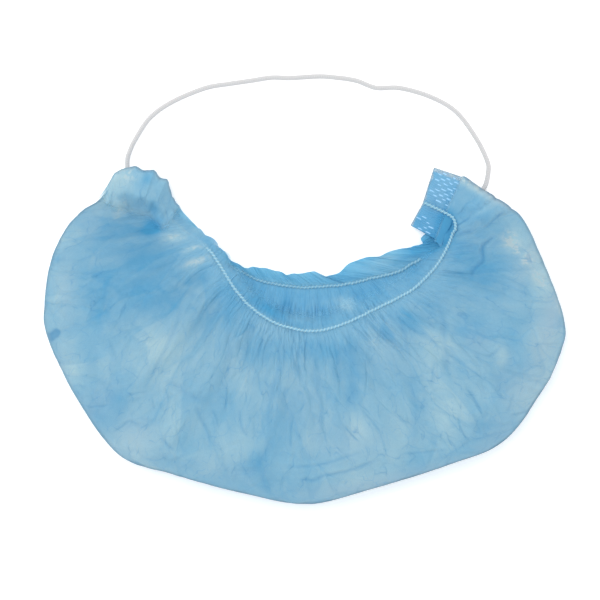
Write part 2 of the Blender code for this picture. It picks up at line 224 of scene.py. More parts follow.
# A tube: each ring is its path's point + radius * (cos(a) * side + flatten * sin(a) * lift). Its
# ends close on a ring of nearly no radius, a fiftieth of a step further out.
def addTube(name, path, radius, sides, material, flatten=1.0):
    path = np.vstack([path[:1], path, path[-1:]])
    path[0] += (path[1] - path[2]) * 0.02
    path[-1] += (path[-2] - path[-3]) * 0.02
    side, lift = squareTo(path)
    turn = np.linspace(0, 2 * math.pi, sides, endpoint=False)
    radii = np.full((len(path), 1), radius)
    radii[[0, -1]] = 1e-5
    rings = path[:, None] + (radii * np.cos(turn))[..., None] * side[:, None]
    rings = rings + (radii * flatten * np.sin(turn))[..., None] * lift[:, None]
    around = np.linspace(0, 1, sides)
    uv = np.stack(np.broadcast_arrays(lengthAlong(path)[:, None], around[None, :]), axis=-1)
    faces = gridFaces(len(path), sides, closed=True)[:, ::-1]
    return addMesh(name, rings.reshape(-1, 3), faces, material, uv=uv.reshape(-1, 2))


# Materials


# One socket of a node tree: Python's operators on it add Math nodes
class Wire:
    def __init__(self, tree, socket):
        self.tree = tree
        self.socket = socket

    def math(self, operation, *others, clamp=False):
        inputs = dict(enumerate((self,) + others))
        settings = {"operation": operation, "use_clamp": clamp}
        return self.tree.add("ShaderNodeMath", settings, inputs)

    def __add__(self, other):
        return self.math("ADD", other)

    def __sub__(self, other):
        return self.math("SUBTRACT", other)

    def __rsub__(self, other):
        return (self * -1.0) + other

    def __mul__(self, other):
        return self.math("MULTIPLY", other)

    __radd__ = __add__
    __rmul__ = __mul__

    def clamp(self):
        return self.math("ADD", 0.0, clamp=True)

    # 0 below low, 1 above high and smooth between them
    def ramp(self, low, high):
        inputs = {"Value": self, "From Min": low, "From Max": high}
        return self.tree.add("ShaderNodeMapRange", {"interpolation_type": "SMOOTHSTEP"}, inputs)


# A material and short ways to add its nodes
class Finish:
    def __init__(self, name):
        self.material = bpy.data.materials.new(name)
        self.material.use_nodes = True
        self.nodes = self.material.node_tree.nodes
        self.links = self.material.node_tree.links
        self.nodes.clear()

    # Adds a node: its settings first, then the values or wires of its sockets
    def add(self, kind, settings={}, inputs={}, output=0):
        node = self.nodes.new(kind)
        for name, value in settings.items():
            setattr(node, name, value)
        for name, value in inputs.items():
            if isinstance(value, Wire):
                self.links.new(value.socket, node.inputs[name])
            else:
                node.inputs[name].default_value = value
        return Wire(self, node.outputs[output])

    def attribute(self, name):
        return self.add("ShaderNodeAttribute", {"attribute_name": name}, output="Fac")

    # The piece's own flat map, scaled both ways and turned
    def flat(self, scale=(1.0, 1.0), turnDeg=0.0):
        uv = self.add("ShaderNodeUVMap", {"uv_map": "flat"})
        inputs = {"Vector": uv, "Scale": (*scale, 1.0), "Rotation": (0.0, 0.0, math.radians(turnDeg))}
        return self.add("ShaderNodeMapping", {}, inputs)

    def place(self):
        return self.add("ShaderNodeTexCoord", output="Object")

    def noise(self, vector, scale, detail=2.0, distortion=0.0, output=0):
        inputs = {"Vector": vector, "Scale": scale, "Detail": detail, "Distortion": distortion}
        return self.add("ShaderNodeTexNoise", {}, inputs, output)

    def mix(self, share, first, second):
        inputs = {0: share, 6: first, 7: second}
        return self.add("ShaderNodeMix", {"data_type": "RGBA"}, inputs, output=2)

    def bump(self, height, distance, strength=1.0):
        inputs = {"Height": height, "Distance": distance, "Strength": strength}
        return self.add("ShaderNodeBump", {}, inputs)

    def principled(self, colour, roughness, normal=None, **constants):
        inputs = {"Base Color": colour, "Roughness": roughness}
        inputs.update({name.replace("_", " "): value for name, value in constants.items()})
        if normal is not None:
            inputs["Normal"] = normal
        return self.add("ShaderNodeBsdfPrincipled", {}, inputs)

    def blend(self, share, first, second):
        return self.add("ShaderNodeMixShader", {}, {0: share, 1: first, 2: second})

    def show(self, shader):
        node = self.nodes.new("ShaderNodeOutputMaterial")
        self.links.new(shader.socket, node.inputs["Surface"])
        return self.material


# The camera looks straight down through a long lens, and the photograph's upper edge is at +Y
camera = {
    "shownWidth": 0.276,
    "lookAt": (-0.0021, 0.0147),
    "height": 3.0,
    "sensor": 36.0,
    "clipEnd": 20.0,
}


def placeCamera():
    data = bpy.data.cameras.new("photoCamera")
    data.sensor_width = camera["sensor"]
    data.lens = camera["sensor"] * camera["height"] / camera["shownWidth"]
    data.clip_end = camera["clipEnd"]
    made = bpy.data.objects.new("photoCamera", data)
    made.location = (*camera["lookAt"], camera["height"])
    bpy.context.scene.collection.objects.link(made)
    bpy.context.scene.camera = made


placeCamera()
print("camera placed")


# Knitted white elastic, for the loop and the stitched edges: ribs wind both ways round the cord
# by its own map, max(sin(along + 2 turns), sin(along - 2 turns)), under a little lint
knit = {
    "lintScale": 2600.0,
    "ribTone": 0.25,
    "lintTone": 0.6,
    "ribHeight": 0.6,
    "lintHeight": 0.4,
    "bump": 0.6,
    "roughness": 0.8,
    "sheen": 0.15,
}


def knittedFinish(name, colour, shade, pitch, depth):
    finish = Finish(name)
    along = finish.add("ShaderNodeSeparateXYZ", {}, {"Vector": finish.flat()})
    around = Wire(finish, along.socket.node.outputs["Y"])
    turns = along * (2 * math.pi / pitch)
    left = (turns + around * (4 * math.pi)).math("SINE")
    right = (turns - around * (4 * math.pi)).math("SINE")
    ribs = left.math("MAXIMUM", right)
    lint = finish.noise(finish.place(), knit["lintScale"], detail=3.0)
    tone = (ribs * knit["ribTone"] + lint * knit["lintTone"]).clamp()
    height = ribs * knit["ribHeight"] + lint * knit["lintHeight"]
    normal = finish.bump(height, depth, knit["bump"])
    paint = finish.mix(tone, shade, colour)
    return finish.show(
        finish.principled(paint, knit["roughness"], normal, Sheen_Weight=knit["sheen"])
    )


# The loop: its route is the cord's own, laid on the surface from the left end to the right, in
# millimetres
headLoop = {
    "diameter": 0.0021,
    "length": 0.2535,
    "points": 260,
    "sides": 20,
    "route": (
        (-71.7, 62.4), (-76.7, 65.4), (-80.2, 70.1), (-81.4, 75.3), (-81.4, 79.9), (-80.4, 83.1),
        (-77.9, 88.4), (-71.2, 98.4), (-61.1, 105.7), (-45.9, 112.1), (-34.8, 114.1),
        (-25.1, 115.5), (-15.1, 117.0), (-6.8, 116.8), (4.7, 117.5), (11.7, 117.3), (23.3, 115.7),
        (32.8, 112.3), (43.8, 112.2), (57.8, 108.2), (69.6, 101.3), (78.6, 89.5), (83.8, 79.1),
        (84.5, 73.9), (82.7, 66.6), (77.6, 61.2), (70.4, 58.1), (63.2, 57.0),
    ),
    "white": (0.63, 0.63, 0.63, 1.0),
    "shade": (0.44, 0.44, 0.45, 1.0),
    "ribPitch": 0.0008,
    "ribDepth": 0.00012,
}


# A tube along the curve through the route, its middle one radius above the surface
def makeHeadLoop():
    route = np.array(headLoop["route"]) * millimetre
    radius = headLoop["diameter"] / 2
    route = np.column_stack([route, np.full(len(route), radius)])
    path = alongCurve(route, np.linspace(0, 1, headLoop["points"]))
    look = [headLoop[name] for name in ("white", "shade", "ribPitch", "ribDepth")]
    finish = knittedFinish("knittedLoop", *look)
    loop = addTube("head_loop_knit", path, radius, headLoop["sides"], finish)
    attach(loop, "root")
    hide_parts("head_loop")


makeHeadLoop()
print("head loop made")


# The pouch: its sizes and tables are the model's own. Its lines are shares of half its width and
# half its reach. A swell is size * cos(waves * 2 pi * share + start + drift * reach).
pouch = {
    "width": 0.240,
    "reach": 0.1555,
    "centre": (-0.00008, -0.00161),
    "crown": 0.046,
    "wall": 0.0012,
    "frill": 0.011,
    "columns": 1081,
    "frontFrillRows": 14,
    "frontRows": 160,
    "backRows": 64,
    "backFrillRows": 16,
    "rowsUnder": 6,
    "foldLength": 0.481,
    "restingHeight": 0.0003,
    "endShare": 0.18,
    "ruffles": 22,
    "ruffleDepth": 0.0016,
    "swellColumns": ("size", "waves", "start", "drift"),
    "swellRows": ((0.6, 11, 0.6, 0.0), (0.4, 17, 0.0, 2.5)),
    "swellDepth": 0.0011,
    "foldDepth": 0.0030,
    "foldEnds": 0.15,
    "bulge": 0.0010,
    "bulgeShare": 0.10,
    "bulgeStart": 0.04,
    "frillTurn": 0.06,
    "seed": 41,
}

# The welded tabs: where the front elastic crosses each inner line, the line's direction, its
# lengths either side of the crossing, the side of the cut end and how far the tab stands up
tabColumns = ("x", "y", "lineDeg", "above", "below", "side", "standDeg")
leftTabRow = (-0.5765, 0.843, 157.4, 0.58, 0.26, -1.0, 58.0)
rightTabRow = (0.553, 0.7215, 64.2, 0.61, 0.42, 1.0, 0.0)
weld = {
    "width": 0.014,
    "length": 0.031,
    "thickness": 0.004,
    "lift": 0.0029,
    "bendLength": 0.005,
    "tuck": 0.0040,
    "taper": 0.0016,
    "pleatPitch": 0.00100,
    "pleatDepth": 0.00026,
    "rows": 220,
    "columns": 64,
}
leftCutEnd = (
    (-0.98, 0.05), (-0.75, 0.13), (-0.35, 0.48), (0.00, 0.45), (0.22, 0.75), (0.65, 0.53),
    (0.93, 0.22), (1.00, 0.12),
)
rightCutEnd = ((-0.93, 0.95), (-0.07, 0.90), (0.87, 1.08))

outlineRows = (
    (-0.742, 0.917), (-0.768, 0.855), (-0.800, 0.792), (-0.857, 0.742), (-0.921, 0.625),
    (-0.975, 0.440), (-1.000, 0.160), (-0.993, 0.030), (-0.950, -0.144), (-0.845, -0.446),
    (-0.702, -0.719), (-0.499, -0.825), (-0.230, -0.938), (0.015, -1.000), (0.269, -0.905),
    (0.557, -0.766), (0.760, -0.632), (0.906, -0.345), (0.985, -0.090), (1.000, 0.070),
    (0.943, 0.350), (0.848, 0.674), (0.746, 0.820),
)
frontRimRows = (
    (-0.562, 0.778), (-0.520, 0.695), (-0.459, 0.617), (-0.391, 0.545), (-0.345, 0.456),
    (-0.307, 0.364), (-0.272, 0.283), (-0.211, 0.173), (-0.112, 0.073), (0.012, 0.025),
    (0.123, 0.051), (0.273, 0.155), (0.404, 0.259), (0.461, 0.332), (0.518, 0.434), (0.567, 0.580),
    (0.576, 0.645),
)
backRimRows = (
    (-0.547, 0.740), (-0.485, 0.640), (-0.400, 0.535), (-0.307, 0.437), (-0.230, 0.377),
    (-0.154, 0.324), (-0.019, 0.292), (0.096, 0.298), (0.173, 0.310), (0.269, 0.348),
    (0.357, 0.381), (0.441, 0.455), (0.524, 0.540), (0.572, 0.640),
)
heightColumns = ("share", "crown", "rim", "edge", "lift", "backRim")
heightRows = (
    (0.05, 0.270, 0.215, 0.150, 0.050, 0.074),
    (0.12, 0.500, 0.345, 0.210, 0.017, 0.070),
    (0.20, 0.770, 0.470, 0.270, 0.000, 0.068),
    (0.36, 0.950, 0.620, 0.310, 0.000, 0.068),
    (0.52, 1.000, 0.680, 0.300, 0.000, 0.068),
    (0.66, 0.960, 0.620, 0.310, 0.000, 0.068),
    (0.80, 0.780, 0.470, 0.270, 0.000, 0.068),
    (0.89, 0.500, 0.330, 0.210, 0.017, 0.070),
    (0.96, 0.260, 0.200, 0.150, 0.050, 0.074),
)
frillColumns = ("share", "frontSpread", "frontRise", "frontSquare")
frillColumns += ("backSpread", "backRise", "backSquare")
frillRows = (
    (0.00, 0.95, -0.02, 0.0, 0.90, 0.00, 0.0),
    (0.06, 0.70, -0.25, 0.0, 0.80, 0.00, 0.0),
    (0.14, 0.45, -0.60, 0.3, 0.65, 0.15, 0.3),
    (0.24, 0.55, -0.70, 0.4, 0.45, 0.30, 0.5),
    (0.35, 0.80, -0.50, 0.4, 0.55, 0.30, 0.5),
    (0.50, 0.85, -0.45, 0.4, 0.50, 0.35, 0.5),
    (0.60, 0.85, -0.45, 0.4, 0.75, 0.25, 0.5),
    (0.72, 0.85, -0.45, 0.4, 0.92, 0.15, 0.6),
    (0.85, 0.85, -0.45, 0.3, 0.85, 0.15, 0.6),
    (0.93, 0.90, -0.20, 0.0, 0.50, 0.05, 0.2),
    (1.00, 0.95, -0.02, 0.0, 0.90, 0.00, 0.0),
)
frontColumns = ("share", "reach", "edge", "crown", "rim")
frontRows = (
    (0.00, 1.000, 1.00, 0.00, 0.00),
    (0.08, 0.980, 0.62, 0.38, 0.00),
    (0.18, 0.915, 0.28, 0.72, 0.00),
    (0.32, 0.760, 0.05, 0.95, 0.00),
    (0.48, 0.560, 0.00, 1.00, 0.00),
    (0.66, 0.340, 0.00, 0.84, 0.16),
    (0.84, 0.140, 0.00, 0.40, 0.60),
    (1.00, 0.000, 0.00, 0.00, 1.00),
)
backColumns = ("share", "reach", "edge", "floor", "backRim")
backRows = (
    (0.00, 1.000, 1.00, 0.00, 0.00),
    (0.06, 0.980, 0.55, 0.45, 0.00),
    (0.14, 0.930, 0.16, 0.84, 0.00),
    (0.24, 0.830, 0.00, 1.00, 0.00),
    (0.80, 0.200, 0.00, 1.00, 0.00),
    (0.90, 0.090, 0.00, 0.70, 0.30),
    (1.00, 0.000, 0.00, 0.00, 1.00),
)

# The main folds of the front wall, as in the model
foldColumns = ("share", "drift", "width", "depth", "near", "far")
foldRows = (
    (0.080, 0.020, 0.014, 0.9, 0.10, 0.80),
    (0.130, -0.020, 0.013, 0.7, 0.05, 0.60),
    (0.180, 0.000, 0.016, 1.0, 0.20, 0.90),
    (0.235, -0.030, 0.014, 0.8, 0.05, 0.70),
    (0.290, 0.010, 0.015, 1.0, 0.05, 0.95),
    (0.335, -0.010, 0.013, 0.6, 0.30, 0.90),
    (0.385, -0.020, 0.016, 1.0, 0.05, 0.85),
    (0.430, 0.010, 0.013, 0.7, 0.05, 0.60),
    (0.475, -0.010, 0.015, 0.9, 0.25, 0.95),
    (0.515, 0.000, 0.014, 1.0, 0.05, 0.80),
    (0.560, 0.020, 0.014, 0.7, 0.10, 0.60),
    (0.605, 0.010, 0.017, 1.0, 0.05, 0.92),
    (0.655, -0.010, 0.013, 0.6, 0.35, 0.90),
    (0.700, 0.020, 0.015, 0.9, 0.05, 0.75),
    (0.745, 0.000, 0.014, 1.0, 0.05, 0.90),
    (0.800, 0.020, 0.014, 0.8, 0.20, 0.85),
    (0.850, -0.010, 0.013, 0.7, 0.05, 0.60),
    (0.900, 0.010, 0.015, 0.9, 0.10, 0.80),
)


# A point of the model's lines: its shares * half the pouch's size + the pouch's centre
def flatPoint(x, y):
    halfWidth, halfReach = ((pouch[name] - pouch["wall"]) / 2 for name in ("width", "reach"))
    centre = pouch["centre"]
    return np.array([x * halfWidth + centre[0], y * halfReach + centre[1], 0.0])


# A tab's lengths in metres and its directions: 'along' its inner line and 'across' to its cut end
def tabFrame(row, cutEnd):
    tab = dict(zip(tabColumns, row))
    tab["cutEnd"] = np.array(cutEnd)
    turn = math.radians(tab["lineDeg"])
    tab["above"] *= weld["length"]
    tab["below"] *= weld["length"]
    tab["centre"] = flatPoint(tab["x"], tab["y"])
    tab["along"] = np.array([math.cos(turn), math.sin(turn), 0.0])
    tab["across"] = tab["side"] * np.array([-math.sin(turn), math.cos(turn), 0.0])
    return tab


slabTop = weld["lift"] + weld["thickness"]
onSlab = slabTop + 0.0004
leftTab = tabFrame(leftTabRow, leftCutEnd)
rightTab = tabFrame(rightTabRow, rightCutEnd)


# The smooth curve through a line's points, from the left tab to the right one
def lineBetween(rows, shares, atFold=False):
    ends = [tab["centre"] + atFold * tab["above"] * tab["along"] for tab in (leftTab, rightTab)]
    return alongCurve([ends[0]] + [flatPoint(x, y) for x, y in rows] + [ends[1]], shares)


# The height table at any share: crown * share of each row, and the tabs' own heights at the ends
def heightsAlong(shares):
    rest = pouch["wall"] / 2
    top, bottom = slabTop - rest, weld["lift"] + rest
    ends = (top, top, (top + bottom) / 2, bottom - rest, bottom)
    rows = [(0.0,) + ends]
    rows += [(row[0],) + tuple(pouch["crown"] * value for value in row[1:]) for row in heightRows]
    rows += [(1.0,) + ends]
    found = readTable(heightColumns, rows, shares)
    found["floor"] = found["lift"] + rest
    return found


# The fabric's middle as one grid, from the free edge of the front frill over the front wall,
# round the side fold and along the back wall to the free edge of the back frill. A wall's point
# is rim + (fold - rim) * reach, with the table's mix of heights; a frill's point is rim + length *
# (spread * outward + rise * up).
def pouchGrid():
    share = np.linspace(0, 1, pouch["columns"])
    fold = lineBetween(outlineRows, share, atFold=True)
    front = lineBetween(frontRimRows, share)
    back = lineBetween(backRimRows, share)
    height = heightsAlong(share)
    front[:, 2], back[:, 2] = height["rim"], height["backRim"]
    toEnd = np.minimum(share, 1 - share)
    inside = smoothStep(toEnd / pouch["endShare"])
    nearEnds = bell(toEnd / pouch["bulgeShare"]) * smoothStep(toEnd / pouch["bulgeStart"])
    ruffle = np.cos(2 * math.pi * pouch["ruffles"] * share) * inside
    frills = readTable(frillColumns, frillRows, share)

    # Outward is away from the fold, turned square to the rim and, near a tab, back along its line
    def frill(rim, side, at):
        away = (rim - fold) * level
        square = np.cross(up, np.gradient(rim, axis=0) * level)
        spread, rise, turn = (frills[side + name][:, None] for name in ("Spread", "Rise", "Square"))
        outward = (1 - turn) * unit(away) + turn * unit(square)
        for tab, distance in ((leftTab, share), (rightTab, 1 - share)):
            near = bell(distance / pouch["frillTurn"])[:, None]
            outward = (1 - near) * outward - near * (tab["along"] + 0.1 * tab["across"])
        outward = unit(outward)
        reach = pouch["frill"] * at[:, None, None] * (spread * outward + rise * up)
        wave = pouch["ruffleDepth"] * cloth["frillRuffle"] * at[:, None] * ruffle
        return rim + reach + unit(spread * up - rise * outward) * wave[..., None]

    # The sum of the folds: depth * exp(-((share - its own) / width)^2) between near and far
    def frontFolds(reach):
        depth = np.zeros((len(reach), len(share)))
        for row in named(foldColumns, foldRows):
            span = smoothStep((reach - row["near"]) / pouch["foldEnds"] + 0.5)
            span = span * smoothStep((row["far"] - reach) / pouch["foldEnds"] + 0.5)
            away = (share - row["share"] - row["drift"] * reach) / row["width"]
            depth += row["depth"] * span * bell(away)
        return depth

    # A wall from a rim to the fold, its height the table's mix of the named heights
    def wall(rim, columns, rows, at):
        weigh = {name: column[:, None] for name, column in readTable(columns, rows, at).items()}
        line = rim + (fold - rim) * weigh["reach"][..., None]
        line[..., 2] = sum(height[name] * weigh[name] for name in columns[2:])
        return line, weigh["reach"]

    # The front wall also swells in two long waves and sinks along its folds
    def frontWall(at):
        line, reach = wall(front, frontColumns, frontRows, at)
        middle = np.sin(math.pi * reach)
        swell = 0.0
        for row in named(pouch["swellColumns"], pouch["swellRows"]):
            turn = 2 * math.pi * row["waves"] * share + row["start"] + row["drift"] * at[:, None]
            swell = swell + row["size"] * np.cos(turn)
        rise = middle * inside * pouch["swellDepth"] * swell
        rise = rise - smoothStep(4 * middle) * inside * pouch["foldDepth"] * frontFolds(reach)
        line[..., 2] += rise + pouch["bulge"] * np.sin(4 * math.pi * reach) * nearEnds
        return line

    frontFrillAt = np.linspace(1, 0, pouch["frontFrillRows"], endpoint=False)
    backFrillAt = np.linspace(0, 1, pouch["backFrillRows"] + 1)[1:]
    frontAt = np.linspace(1, 0, pouch["frontRows"])
    backAt = np.linspace(0, 1, pouch["backRows"] + 1)[1:]
    points = np.concatenate(
        [
            frill(front, "front", frontFrillAt),
            frontWall(frontAt),
            wall(back, backColumns, backRows, backAt)[0],
            frill(back, "back", backFrillAt),
        ]
    )
    rim = pouch["frontFrillRows"]
    foldRow = rim + pouch["frontRows"] - 1
    backRim = foldRow + pouch["backRows"]
    return share, points, rim, foldRow, backRim


# The cloth's own relief. A gather is the magnitude of a noise stretched away from the elastic, so
# that rounded folds meet in sharp valleys. A crumple is a field of turned cells of the flat cloth:
# each rises from the lines round it to a flat patch, and the lines are its creases. A ripple
# changes how far the front frill reaches: its size, waves along the rim, row and seed of a noise.
# A pair that ends in From is where something starts and over how long it grows. The back frill's
# free edge is in millimetres.
cloth = {
    "gatherColumns": ("count", "depth", "start", "run"),
    "gatherRows": (
        (230, 0.00036, 0.0004, 0.006),
        (120, 0.00070, 0.0010, 0.012),
        (64, 0.00110, 0.0035, 0.024),
        (34, 0.00140, 0.0100, 0.040),
    ),
    "gatherSway": 0.8,
    "gatherStretch": 2.6,
    "gatherCut": 0.28,
    "gatherLine": 0.19,
    "gathersVary": 0.7,
    "crumpleColumns": ("width", "length", "turnDeg", "depth", "edge", "line", "strength", "facetShading"),
    "crumpleRows": (
        (0.034, 0.080, 10, 0.00110, 0.55, 0.0012, 0.15, 0.24),
        (0.022, 0.060, -20, 0.00080, 0.35, 0.0009, 0.30, 0.30),
        (0.016, 0.038, 28, 0.00036, 0.22, 0.0005, 0.55, 0.24),
        (0.012, 0.024, -34, 0.00024, 0.20, 0.0005, 0.55, 0.20),
        (0.0085, 0.016, 14, 0.00015, 0.20, 0.0005, 0.45, 0.16),
        (0.0055, 0.010, -50, 0.00008, 0.22, 0.0005, 0.30, 0.10),
    ),
    "crumpleBend": 0.35,
    "facetShadingEdge": 0.06,
    "fullnessColumns": ("share", "gather", "crumple"),
    "frontFullness": (
        (0.00, 0.50, 0.40),
        (0.10, 0.40, 0.25),
        (0.24, 0.40, 0.30),
        (0.34, 0.60, 0.60),
        (0.45, 0.80, 1.00),
        (0.70, 0.75, 1.00),
        (0.82, 0.50, 0.80),
        (0.90, 0.42, 0.60),
        (1.00, 0.50, 0.50),
    ),
    "frontMiddle": 0.6,
    "backMiddle": 0.9,
    "backFullness": 4.6,
    "hiddenFrom": (0.006, 0.016),
    "leastSeen": (0.12, 0.05),
    "crumpleReach": 0.06,
    "rimCalm": 0.012,
    "foldCalm": 0.006,
    "endCalm": 0.05,
    "namedStrength": 1.4,
    "namedRelief": 0.6,
    "foldLine": 0.9,
    # The outline's thin dark line, painted shade where the cloth turns away: its width, its strength
    # by share and its reach from the fold
    "foldLineWidth": 0.0014,
    "outlineShadeWidth": 0.0011,
    "outlineShadeStrength": (
        (0, 0.6), (0.25, 0.5), (0.38, 0.9), (0.50, 0.9), (0.64, 1.0), (0.78, 0.8),
        (0.88, 0.6), (1, 0.45),
    ),
    "outlineShadeReach": 0.012,
    "milkyHem": 0.0018,
    "endPleats": 8,
    "endPleatDepth": 0.0005,
    "endPleatShares": (0.06, 0.01),
    "frillRuffle": 0.45,
    "frillWave": 0.0011,
    "frillLengthVaries": 0.10,
    "rippleRows": ((1.2, 17, 0.1, 602), (0.7, 40, 0.3, 600), (0.2, 75, 0.7, 601)),
    "lastRipple": 0.35,
    "backFrillEdge": (
        (-64.3, 68.5), (-60.6, 62.6), (-56.9, 56.1), (-51.4, 49.7), (-46.3, 43.2), (-42.2, 40.0),
        (-39.4, 38.6), (-38.5, 34.0), (-35.7, 31.3), (-30.7, 29.0), (-27.4, 30.4), (-22.4, 30.4),
        (-16.0, 28.5), (-13.2, 26.5), (-11.4, 26.9), (-4.0, 26.7), (2.0, 27.4), (4.3, 25.3),
        (7.5, 24.6), (9.8, 25.1), (14.9, 26.7), (18.6, 30.6), (21.8, 32.2), (27.3, 34.0),
        (32.8, 34.0), (36.5, 35.9), (43.9, 37.7), (49.4, 40.5), (50.8, 42.3), (53.5, 44.2),
    ),
    "mouthFrom": (0.16, 0.08),
    "mouthTo": (0.03, 0.06),
    "clearFrom": (0.35, 0.6),
    "insideReach": 0.035,
    "backedRim": (0.25, 0.012),
    "backedFrom": (0.94, 0.03),
    "backedEnd": 0.45,
    "endFrom": (0.93, 0.03),
    "onTabFrom": (0.965, 0.02),
    "base": 0.5,
    "patch": 0.7,
    "deeper": 0.21,
    "lapColumns": 6,
    "lapStep": 0.00045,
    "lapRise": 0.0016,
    "lapTone": 0.40,
    "lapFadeFrom": 0.0006,
}


# 1 - exp(-|value| / cut): 0 in a narrow valley where the value changes sign, and nearly 1 beside it
def pillow(value, cut):
    return 1 - np.exp(-np.abs(value) / cut)


# The sum of the gathers: depth * window * (pillow of noise - middle). The window grows from the
# elastic over 'start' and dies away over 'run', and the valleys are the creases.
def gathers(share, distance, seed, middle):
    height = np.zeros(distance.shape)
    crease = np.zeros(distance.shape)
    away = np.abs(distance)
    for k, row in enumerate(named(cloth["gatherColumns"], cloth["gatherRows"])):
        count, run = row["count"], row["run"]
        sway = cloth["gatherSway"] * noise(share * count / 9, distance / run, seed + 20 + k)
        ridges = noise(share * count + sway, distance / (cloth["gatherStretch"] * run), seed + k)
        found = pillow(ridges, cloth["gatherCut"])
        window = bell(away / run) * (0.25 + 0.75 * smoothStep(away / row["start"]))
        height += row["depth"] * window * (found - middle)
        crease = np.maximum(crease, cloth["gatherLine"] * window * bell(found / 0.3))
    return height, crease


# The sum of the crumples: depth * (smooth step of the gap between two cells - 0.6), only where a
# slower noise allows it; a crease is exp(-(gap / line)^2), and each cell gets a random lighter or
# darker tone: painted light and shade of its facet, partly the cloth's own uneven tone
def crumples(along, down, seed):
    height = np.zeros(along.shape)
    crease = np.zeros(along.shape)
    tone = np.zeros(along.shape)
    for k, row in enumerate(named(cloth["crumpleColumns"], cloth["crumpleRows"])):
        x, y = turned(along, down, row["turnDeg"])
        x, y = x / row["width"], y / row["length"]
        x = x + cloth["crumpleBend"] * noise(x * 0.9 + 7, y * 1.1, seed + 30 + k)
        y = y + cloth["crumpleBend"] * noise(x * 0.9, y * 1.1 + 3, seed + 60 + k)
        gap, own = cells(x, y, seed + k)
        here = smoothStep(0.45 + 1.7 * noise(x * 0.45, y * 0.6, seed + 90 + k))
        height += row["depth"] * (smoothStep(gap / row["edge"]) - 0.6) * here
        line = bell(gap * row["width"] / row["line"]) * here
        crease = np.maximum(crease, row["strength"] * line)
        # Each cell's random tone: painted light and shade of a facet, partly the cloth's own uneven
        # tone
        tone += row["facetShading"] * (own - 0.5) * smoothStep(gap / cloth["facetShadingEdge"]) * here
    return height, crease, tone


